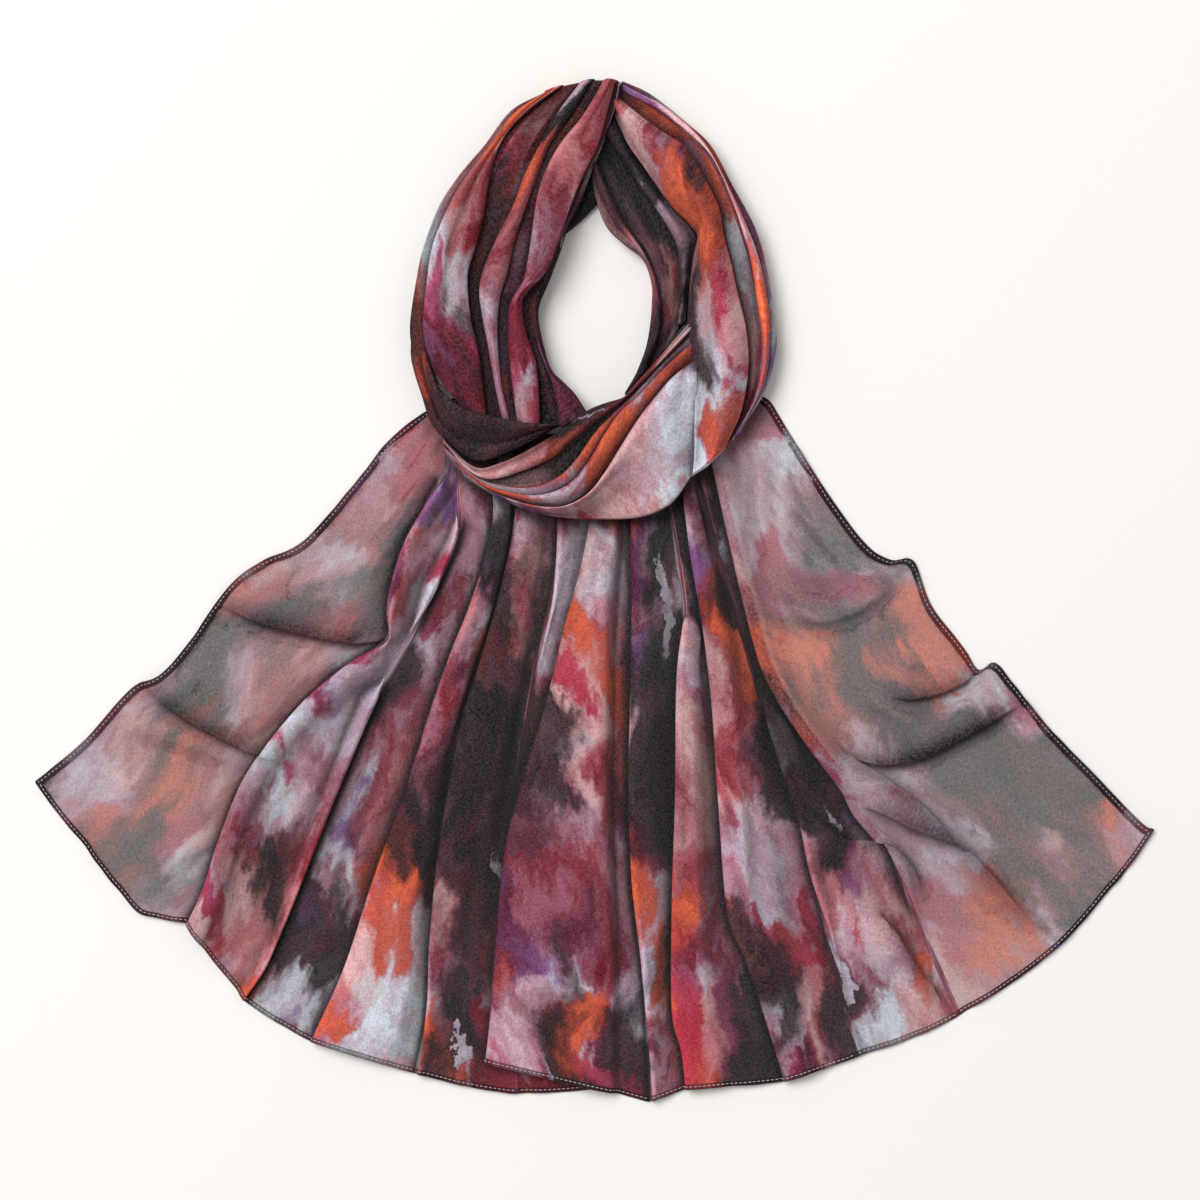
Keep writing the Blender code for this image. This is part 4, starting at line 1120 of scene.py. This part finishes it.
def print_colour(graph, place, darker, light, dyes, gain, soft, grain):
    """A generic wet-dye print: blots drawn out along the cloth, with ragged, bled edges.

    darker: how much nearer charcoal a place is; light: the painted shade and highlights of its
    folds and creases; soft: how far the edges bleed; grain: how much the lighter threads show.
    """
    def push(amount, vector, *noise):
        shift = graph.vector("SUBTRACT", graph.noise(*noise, output="Color"), (0.5, 0.5, 0.5))
        return graph.vector("MULTIPLY_ADD", shift, (*amount, 0.0), vector)

    wet = push((0.11, 0.15), place, graph.scaled(1.0, 0.7, place), 16.0, 13.0, 3.0, 0.68)
    wet = push((0.05, 0.38), wet, graph.scaled(1.0, 0.3, place), 13.0, 5.0, 1.0, 0.6)
    wet = push((0.7, 0.7), wet, place, 1.1, 2.0, 1.0)
    wet = graph.scaled(1.0, 0.5, wet)
    bleed = graph.noise(graph.scaled(1.0, 0.6, place), 22.0, 71.0, 3.0, 0.7)
    speck = graph.times(graph.math("SUBTRACT", bleed, 0.5), 0.05)
    mottle = graph.noise(wet, 6.0, 61.0, 3.0, 0.62)

    def level(scale, seed, detail):
        return graph.math("ADD", graph.noise(wet, scale, seed, detail, 0.55), speck)

    def bled(value, low, high):
        more = (soft - 1) * (high - low) / 2
        return graph.band(value, low - more, high + more)

    def blots(name):
        *noise, below, above = BLOTS[name]
        middle = getattr(dyes, name)
        return bled(level(*noise), middle - below, middle + above)

    def dye(base, share, name):
        return graph.mix(share, base, TINTS[name], "MULTIPLY")

    mauve, rose, pale, rust, orange, dull, streaks = (
        colour(PALETTE[name], gain)
        for name in ("mauve", "dusty rose", "pale blue", "rust", "orange", "dull orange", "streak"))
    tone = graph.mix(graph.band(graph.noise(wet, 1.2, 9.0, 1.5, 0.55), 0.42, 0.58), mauve, rose)
    tone = graph.mix(blots("pale"), tone, pale)
    tone = dye(tone, graph.times(graph.band(mottle, 0.42, 0.64), 0.75), "mottle")
    tone = dye(tone, blots("rose"), "rose")
    tone = dye(tone, blots("crimson"), "crimson")
    burgundy = graph.times(blots("burgundy"), graph.span(mottle, 0.3, 0.62, 0.72, 1.0))
    tone = dye(tone, burgundy, "burgundy")
    tone = dye(tone, graph.times(blots("plum"), 0.92), "plum")

    ember = level(1.25, 31.0, 2.0)
    rim = graph.times(bled(ember, dyes.orange - 0.05, dyes.orange + 0.03), 0.9)
    tone = graph.mix(rim, tone, rust)
    glow = graph.mix(graph.band(mottle, 0.42, 0.66), orange, dull)
    tone = graph.mix(bled(ember, dyes.orange - 0.005, dyes.orange + 0.085), tone, glow)

    depth = graph.math("ADD", level(1.0, 43.0, 3.0), graph.times(darker, 0.08))
    wash = bled(depth, dyes.charcoal - 0.07, dyes.charcoal)
    tone = dye(tone, graph.times(wash, 0.62), "wash")
    heart = bled(depth, dyes.charcoal - 0.025, dyes.charcoal + 0.045)
    stain = graph.band(graph.noise(wet, 2.4, 47.0, 2.0, 0.65), 0.46, 0.62)
    charcoal, maroon, slate = (colour(PALETTE[name]) for name in ("charcoal", "maroon", "slate"))
    dark = graph.mix(stain, charcoal, maroon)
    dark = graph.mix(graph.band(mottle, 0.5, 0.7), dark, slate)
    tone = graph.mix(graph.times(heart, graph.span(mottle, 0.3, 0.65, 1.0, 0.84)), tone, dark)
    streak = graph.noise(graph.scaled(3.8, 0.7, wet), 1.0, 51.0, 1.5, 0.5)
    streak = graph.times(graph.band(streak, 0.715, 0.735), heart)
    tone = graph.mix(graph.times(streak, 0.92), tone, streaks)

    warp = graph.noise(graph.scaled(1.0, 0.3, place), 130.0, 3.0, 0.0)
    weft = graph.noise(graph.scaled(0.3, 1.0, place), 130.0, 7.0, 0.0)
    crepe = graph.noise(place, 90.0, 9.0, 1.0)
    thread = graph.math("ADD", graph.math("ADD", warp, weft), crepe)
    shade = graph.times(graph.span(thread, 1.0, 2.0, 0.80, 1.20),
                        graph.span(bleed, 0.25, 0.75, 0.86, 1.14))
    # Painted shade and highlights (light) multiply the print, with the tone of its threads and
    # bleed.
    tone = graph.mix(1.0, tone, graph.grey(graph.times(shade, light)), "MULTIPLY")
    lit = graph.span(thread, 1.2, 1.9, 0.0, grain)
    return graph.mix(lit, tone, colour(PALETTE["light thread"]))


def cloth_material(name, dyes, gain, alpha, darker=0.0, gathered_shaded=False, soft=1.15, grain=0.05):
    """Printed chiffon. With the shaded copy set, it is sheer cloth made nearly opaque where its
    layers close up in a sharp crease and where painted shade is deep, with painted light of the
    white table in its colour.
    """
    graph = Graph(name)
    place = graph.uv("cloth")
    charcoal, light = graph.add("ShaderNodeSeparateXYZ", {"Vector": graph.uv("zone")}).outputs[:2]
    tone = print_colour(graph, place, charcoal, light, dyes, gain, soft, grain)
    if gathered_shaded:
        # Painted light: the white table seen through the cloth is painted into the shaded copy's
        # colour.
        painted_paper_light = graph.grey(graph.span(light, PAINTED_PAPER_FROM, GATHERED_SHADED_LIGHT, 0.0, PAINTED_PAPER_THROUGH))
        tone = graph.mix(1.0, tone, (SHEER_ALPHA / alpha,) * 3, "MULTIPLY")
        tone = graph.mix(1.0, tone, painted_paper_light, "ADD")
    if darker:
        tone = graph.mix(darker, tone, colour(PALETTE["hem"]))
    crepe = graph.noise(graph.scaled(1.0, 0.35, place), 150.0, 7.0, 1.0)
    bump = graph.add("ShaderNodeBump", {"Height": crepe, "Strength": 0.3, "Distance": 0.0002})
    graph.plug(graph.shader, {"Base Color": tone, "Alpha": alpha, "Normal": bump.outputs[0],
                              **CLOTH_LOOK})
    return graph.material


def thread_material():
    """The hems' sewing thread."""
    graph = Graph("hem_thread")
    place = graph.add("ShaderNodeTexCoord", {}).outputs["Object"]
    tint = graph.band(graph.noise(place, 900.0, 1.0, 2.0), 0.3, 0.7)
    ends = (colour(PALETTE[name]) for name in ("stitch", "pale stitch"))
    graph.plug(graph.shader, {"Base Color": graph.mix(tint, *ends), "Roughness": 0.6})
    return graph.material


# ---- Build the two ends ----
BODY = next(iter(frame["bodies"]))
THREAD = thread_material()


def build_end(name, rows, shift, dyes, sheer_dyes, seed):
    """One end's cloth, with its hems and their stitches. shift: where its print is cut from."""
    surface, across, panels, light = tail_surface(rows)
    count, columns = surface.shape[:2]
    run = np.repeat(np.linspace(0.0, 1.0, count)[:, None], columns, axis=1)
    share = across / CLOTH_WIDTH
    cloth = (np.stack([across, run * CLOTH_RUN], axis=2) + shift) / MAP_UNIT
    darker = ramp(np.abs(share - 0.5), *DARK_ACROSS) * ramp(run, *DARK_FROM) * ramp(run, *DARK_TO)
    sheer_panel = panels.max()
    if rows[0].kind == "edge":
        sheer_panel = 0
        darker[:, panels == 1] = ROLL_PALER
    # x: the charcoal share of the print; y: painted shade and highlights of the creases and folds.
    zone = np.stack([darker, light], axis=2)
    maps = {"OFBake": np.stack([share, run], axis=2), "cloth": cloth, "zone": zone}
    sheet = new_mesh(name + "_sheet", surface.reshape(-1, 3), grid_faces(count, columns),
                     {key: values.reshape(-1, 2) for key, values in maps.items()},
                     np.tile(panels[:-1] != sheer_panel, count - 1))
    sheer = {"dyes": sheer_dyes, "gain": SHEER_GAIN, "soft": SHEER_SOFT}
    for material in (
            cloth_material(name + "_sheer", alpha=SHEER_ALPHA, grain=0.2, **sheer),
            cloth_material(name + "_pleated", dyes, PLEAT_GAIN, PLEAT_ALPHA),
            # The shaded copy of the sheer cloth, for closed-up creases and deep painted shade.
            cloth_material(name + "_gathered", alpha=GATHERED_SHADED_ALPHA, grain=0.12, gathered_shaded=True,
                           **sheer)):
        sheet.data.materials.append(material)

    normal = upward_normals(surface)
    edges = [(np.s_[-1], np.s_[-4], panels >= 0),
             (np.s_[:, 0], np.s_[:, 1], np.full(count, rows[0].kind != "turned")),
             (np.s_[:, -1], np.s_[:, -2], np.full(count, rows[-1].name != HIDDEN))]
    hems, stitches = [], []
    for k, ((edge, inner, stitched), wide) in enumerate(zip(edges, HEM_WIDTHS)):
        points = surface[edge]
        inward = surface[inner] - points
        inward /= np.maximum(np.linalg.norm(inward, axis=1, keepdims=True), 1e-9)
        hems.append((*hem_mesh(points, inward, normal[edge], seed + 7 * k, wide),
                     *(np.repeat(grid[edge], len(HEM_SECTION), axis=0) for grid in (cloth, zone))))
        if stitched.any():
            stitches.append(stitch_mesh(points, inward, normal[edge], stitched))
    faces, points, *maps = joined(hems)
    hem = new_mesh(name + "_hem", points, faces, dict(zip(("cloth", "zone"), maps)))
    hem.data.materials.append(cloth_material(name + "_hem_cloth", dyes, HEM_GAIN, 1.0, HEM_DARKER))
    faces, points = joined(stitches)
    thread = new_mesh(name + "_stitches", points, faces)
    thread.data.materials.append(THREAD)

    for piece in (sheet, hem, thread):
        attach(piece, BODY)
    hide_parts(name)


corners = np.array([(-1, -1, 0), (1, -1, 0), (1, 1, 0), (-1, 1, 0)]) * FLOOR_SIZE / 2
floor = new_mesh("floor", corners - (0, 0, 0.02), [(0, 1, 2, 3)])
paper = Graph("floor_paper")
paper.plug(paper.shader, FLOOR_LOOK)
floor.data.materials.append(paper.material)

PLEAT_DYES = Dyes(0.50, 0.50, 0.50, 0.57, 0.63, 0.59, 0.54)
SHEER_DYES = Dyes(0.52, 0.47, 0.61, 0.55, 0.61, 0.70, 0.59)
build_end("tail_left", TAIL_LEFT, (310, 170), PLEAT_DYES, SHEER_DYES, 21)
build_end("tail_right", TAIL_RIGHT, (1540, 620), PLEAT_DYES, SHEER_DYES, 57)

# ---- Build the loop ----
LEFT_DYES = Dyes(0.53, 0.47, 0.485, 0.50, 0.59, 0.545, 0.58)
RIGHT_DYES = Dyes(0.59, 0.57, 0.60, 0.56, 0.585, 0.595, 0.62)
INNER_DYES = Dyes(0.60, 0.50, 0.58, 0.75, 0.75, 0.58, 0.49)
BACK_DYES = Dyes(0.8, 0.5, 0.45, 0.6, 0.8, 0.6, 0.40)
LEFT_SHIFT = (900, 400)  # the band goes on from the left arm's outer strip
RIGHT_SHIFT = (760, 60)  # the broad panel goes on from the right arm
STRANDS = [
    Strand("loop_left_arm", LEFT_ARM, 150, LEFT_ARM_LIFTS, 7, (("roll", 4.6), ("on", 6)), (0, 0.28),
           {7: LEFT_SHIFT}, {7: (0.35, 0.7, 2.4)}, "burgundy_chiffon", LEFT_DYES, 1.1),
    Strand("loop_left_band", LEFT_BAND, 70, OVER_ENDS, 2, (("on", 4), ("on", 4)), (0.35, 0),
           {0: LEFT_SHIFT}, {0: (-2, -1, 2.4)}, "charcoal_chiffon", LEFT_DYES, 1.1),
    Strand("loop_inner_strand", INNER_STRAND, 90, ON_TABLE, 3, (("on", 4), ("on", 5)), (0, 0.2),
           {}, {}, "charcoal_chiffon", INNER_DYES, 1.0),
    Strand("loop_right_arm", RIGHT_ARM, 140, RIGHT_ARM_LIFTS, 4, (("on", 5), ("roll", 3.0)),
           (0.25, 0), {0: RIGHT_SHIFT}, {}, "mauve_chiffon", RIGHT_DYES, 1.45),
    Strand("loop_front_wrap", FRONT_WRAP, 120, OVER_ENDS, 5, (("on", 6), ("on", 2)), (0.3, 0),
           {4: RIGHT_SHIFT}, {1: (0.1, 0.4, 2.2), 2: (-2, -1, 0.8)}, "rose_chiffon", RIGHT_DYES,
           1.12),
]
for strand in STRANDS:
    piece = build_strand(strand)
    piece.data.materials.append(
        cloth_material(strand.name + "_chiffon", strand.dyes, strand.gain, 1.0))
    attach(piece, BODY)
    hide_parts(strand.name)

edge, top = smooth_path(BACK_EDGE, BACK_STATIONS), smooth_path(BACK_TOP, BACK_STATIONS)
back = np.array([[(*place, height) for place in edge + (top - edge) * share]
                 for share, height in BACK_ROWS])
grid = np.stack(np.meshgrid(np.linspace(0, 1, BACK_STATIONS),
                            np.linspace(0, 1, len(BACK_ROWS))), axis=2).reshape(-1, 2)
back_fold = new_mesh("loop_back_fold", back.reshape(-1, 3), grid_faces(*back.shape[:2]),
                     {"OFBake": grid, "cloth": grid * 0.3 + (4.2, 1.1),
                      "zone": np.full(grid.shape, (0.0, 1.0))})
back_fold.data.materials.append(cloth_material("loop_back_chiffon", BACK_DYES, 1.0, 1.0))
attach(back_fold, BODY)

# ---- Painted shade between the folds, and painted highlights on their rims ----
SHADE_REACH = [(1.5, 0.20), (3.0, 0.24), (6.0, 0.30), (11.0, 0.26)]  # distance, weight
SHADE_WAYS = 8
STEEPEST = 1.3
VALLEY = 2.1  # painted shade for each unit of the mean slope up to the cloth around
MOST_LOST = 0.74
RIM, RIM_ENDS = 0.25, 3  # painted highlight on a fold's rim, and how soon a valley ends it
RIM_SLOPE, RIM_REACH = 0.35, 3.0  # a rim falls away this steeply at this distance
STEEP_FACE = (1.5, 0.8)  # how soon a face counts as steep, and the share of a closed gap's painted shade that it takes
SHEER_SHADE = 0.45  # share of the painted shade on sheer cloth, which the table lights from below
MAP_LOW, MAP_SIZE = np.array([-380.0, -350.0]), (760, 700)
SHEER_SLOT, PLEAT_SLOT, GATHERED_SHADED_SLOT = range(3)


def height_map(pieces):
    """The highest cloth over each square millimetre."""
    heights = np.zeros(MAP_SIZE)
    shares = (0.12, 0.5, 0.88)
    for piece in pieces:
        points = read(piece.data.vertices, "co") / MM
        quads = np.array([p.vertices[:] for p in piece.data.polygons if p.loop_total == 4])
        a, b, c, d = (points[quads[:, i]] for i in range(4))
        for s in shares:
            for t in shares:
                there = (a * (1 - s) + b * s) * (1 - t) + (d * (1 - s) + c * s) * t
                cells = np.clip((there[:, :2] - MAP_LOW).astype(int), 0, np.array(MAP_SIZE) - 1)
                np.maximum.at(heights, (cells[:, 0], cells[:, 1]), there[:, 2])
    return heights


def height_at(heights, places):
    """The height map between the middles of its cells."""
    there = places - MAP_LOW - 0.5
    cells = np.clip(there.astype(int), 0, np.array(MAP_SIZE) - 2)
    (i, j), (s, t) = cells.T, np.clip(there - cells, 0.0, 1.0).T
    near, far = (heights[i, k] * (1 - s) + heights[i + 1, k] * s for k in (j, j + 1))
    return near * (1 - t) + far * t


def fold_shade(piece, heights):
    """The painted light at each point of a piece: painted shade from the cloth around it, a painted
    highlight on a fold's rim.
    """
    points = read(piece.data.vertices, "co") / MM
    valley, closed, rim = np.zeros((3, len(points)))
    for reach, weight in SHADE_REACH:
        rises = []
        for k in range(SHADE_WAYS):
            turn = math.tau * (k + 0.5) / SHADE_WAYS
            way = reach * np.array([math.cos(turn), math.sin(turn)])
            rises.append((height_at(heights, points[:, :2] + way) - points[:, 2]) / reach)
        if reach == RIM_REACH:
            rim = np.clip(-np.min(rises, axis=0) - RIM_SLOPE, 0.0, 1.0)
        rises = np.clip(rises, 0.0, STEEPEST)
        valley += weight * np.mean(rises, axis=0)
        half = SHADE_WAYS // 2
        closed += weight * np.mean(np.minimum(rises[:half], rises[half:]), axis=0)
    sharp, both = STEEP_FACE
    level = np.abs(read(piece.data.vertices, "normal")[:, 2]) ** sharp
    valley = level * valley + (1 - level) * both * closed
    # Painted highlight on rims, fading where painted shade is deep.
    gain = 1 + RIM * rim * (1 - np.clip(RIM_ENDS * valley, 0, 1))
    return (1 - np.minimum(VALLEY * valley, MOST_LOST)) * gain


def shade_piece(piece, heights):
    """Writes the painted shade between its folds, and the painted highlights on their rims, into a
    piece's zone map. Where painted shade leaves a sheer sheet's faces dark, they take the nearly
    opaque shaded copy of its material."""
    data = piece.data
    layer = data.uv_layers["zone"].data
    zone = read(layer, "uv", 2, np.float32)
    light = fold_shade(piece, heights)[read(data.loops, "vertex_index", 1, int)]
    if piece.name.endswith("_sheet"):
        slots = read(data.polygons, "material_index", 1, np.int32)
        light = np.where(np.repeat(slots, 4) == PLEAT_SLOT, light, 1 - SHEER_SHADE * (1 - light))
        left = (zone[:, 1] * light).reshape(-1, 4).mean(axis=1)
        slots[(slots == SHEER_SLOT) & (left < GATHERED_SHADED_LIGHT)] = GATHERED_SHADED_SLOT
        data.polygons.foreach_set("material_index", slots)
    # Painted shade and highlights darken or lighten the print through the zone map.
    zone[:, 1] *= light
    layer.foreach_set("uv", zone.ravel())


cloths = [o for o in bpy.data.objects if o.type == "MESH" and "zone" in o.data.uv_layers]
cloth_heights = height_map([o for o in cloths if not o.name.endswith("_hem")])
for cloth_piece in cloths:
    shade_piece(cloth_piece, cloth_heights)

# ---- Light and camera ----
PIXEL = 0.65 * MM  # what a pixel of the photo shows
PHOTO_SIDE = 1200
VIEW_OFFSET = (5.5, -7.5)  # the photo's middle, in its pixels from the part's origin
LENS = 85
KEY_PLACE, KEY_SIZE, KEY_POWER = (-2.8, 2.5, 5.4), 4.0, 365
WORLD_COLOUR, WORLD_STRENGTH = (1.0, 0.99, 0.97, 1.0), 0.43

scene = bpy.context.scene
scene.view_settings.view_transform = "Standard"
world = bpy.data.worlds.new("studio")
world.use_nodes = True
background = world.node_tree.nodes["Background"].inputs
background["Color"].default_value = WORLD_COLOUR
background["Strength"].default_value = WORLD_STRENGTH
scene.world = world

key_data = bpy.data.lights.new("key", "AREA")
key_data.shape = "SQUARE"
key_data.size = KEY_SIZE
key_data.energy = KEY_POWER
key = bpy.data.objects.new("key", key_data)
key.location = KEY_PLACE
key.rotation_euler = Vector([-c for c in KEY_PLACE]).to_track_quat("-Z", "Y").to_euler()
scene.collection.objects.link(key)

camera_data = bpy.data.cameras.new("camera")
camera_data.lens = LENS
camera = bpy.data.objects.new("camera", camera_data)
camera.location = (*(c * PIXEL for c in VIEW_OFFSET),
                   PHOTO_SIDE * PIXEL * LENS / camera_data.sensor_width)
scene.collection.objects.link(camera)
scene.camera = camera
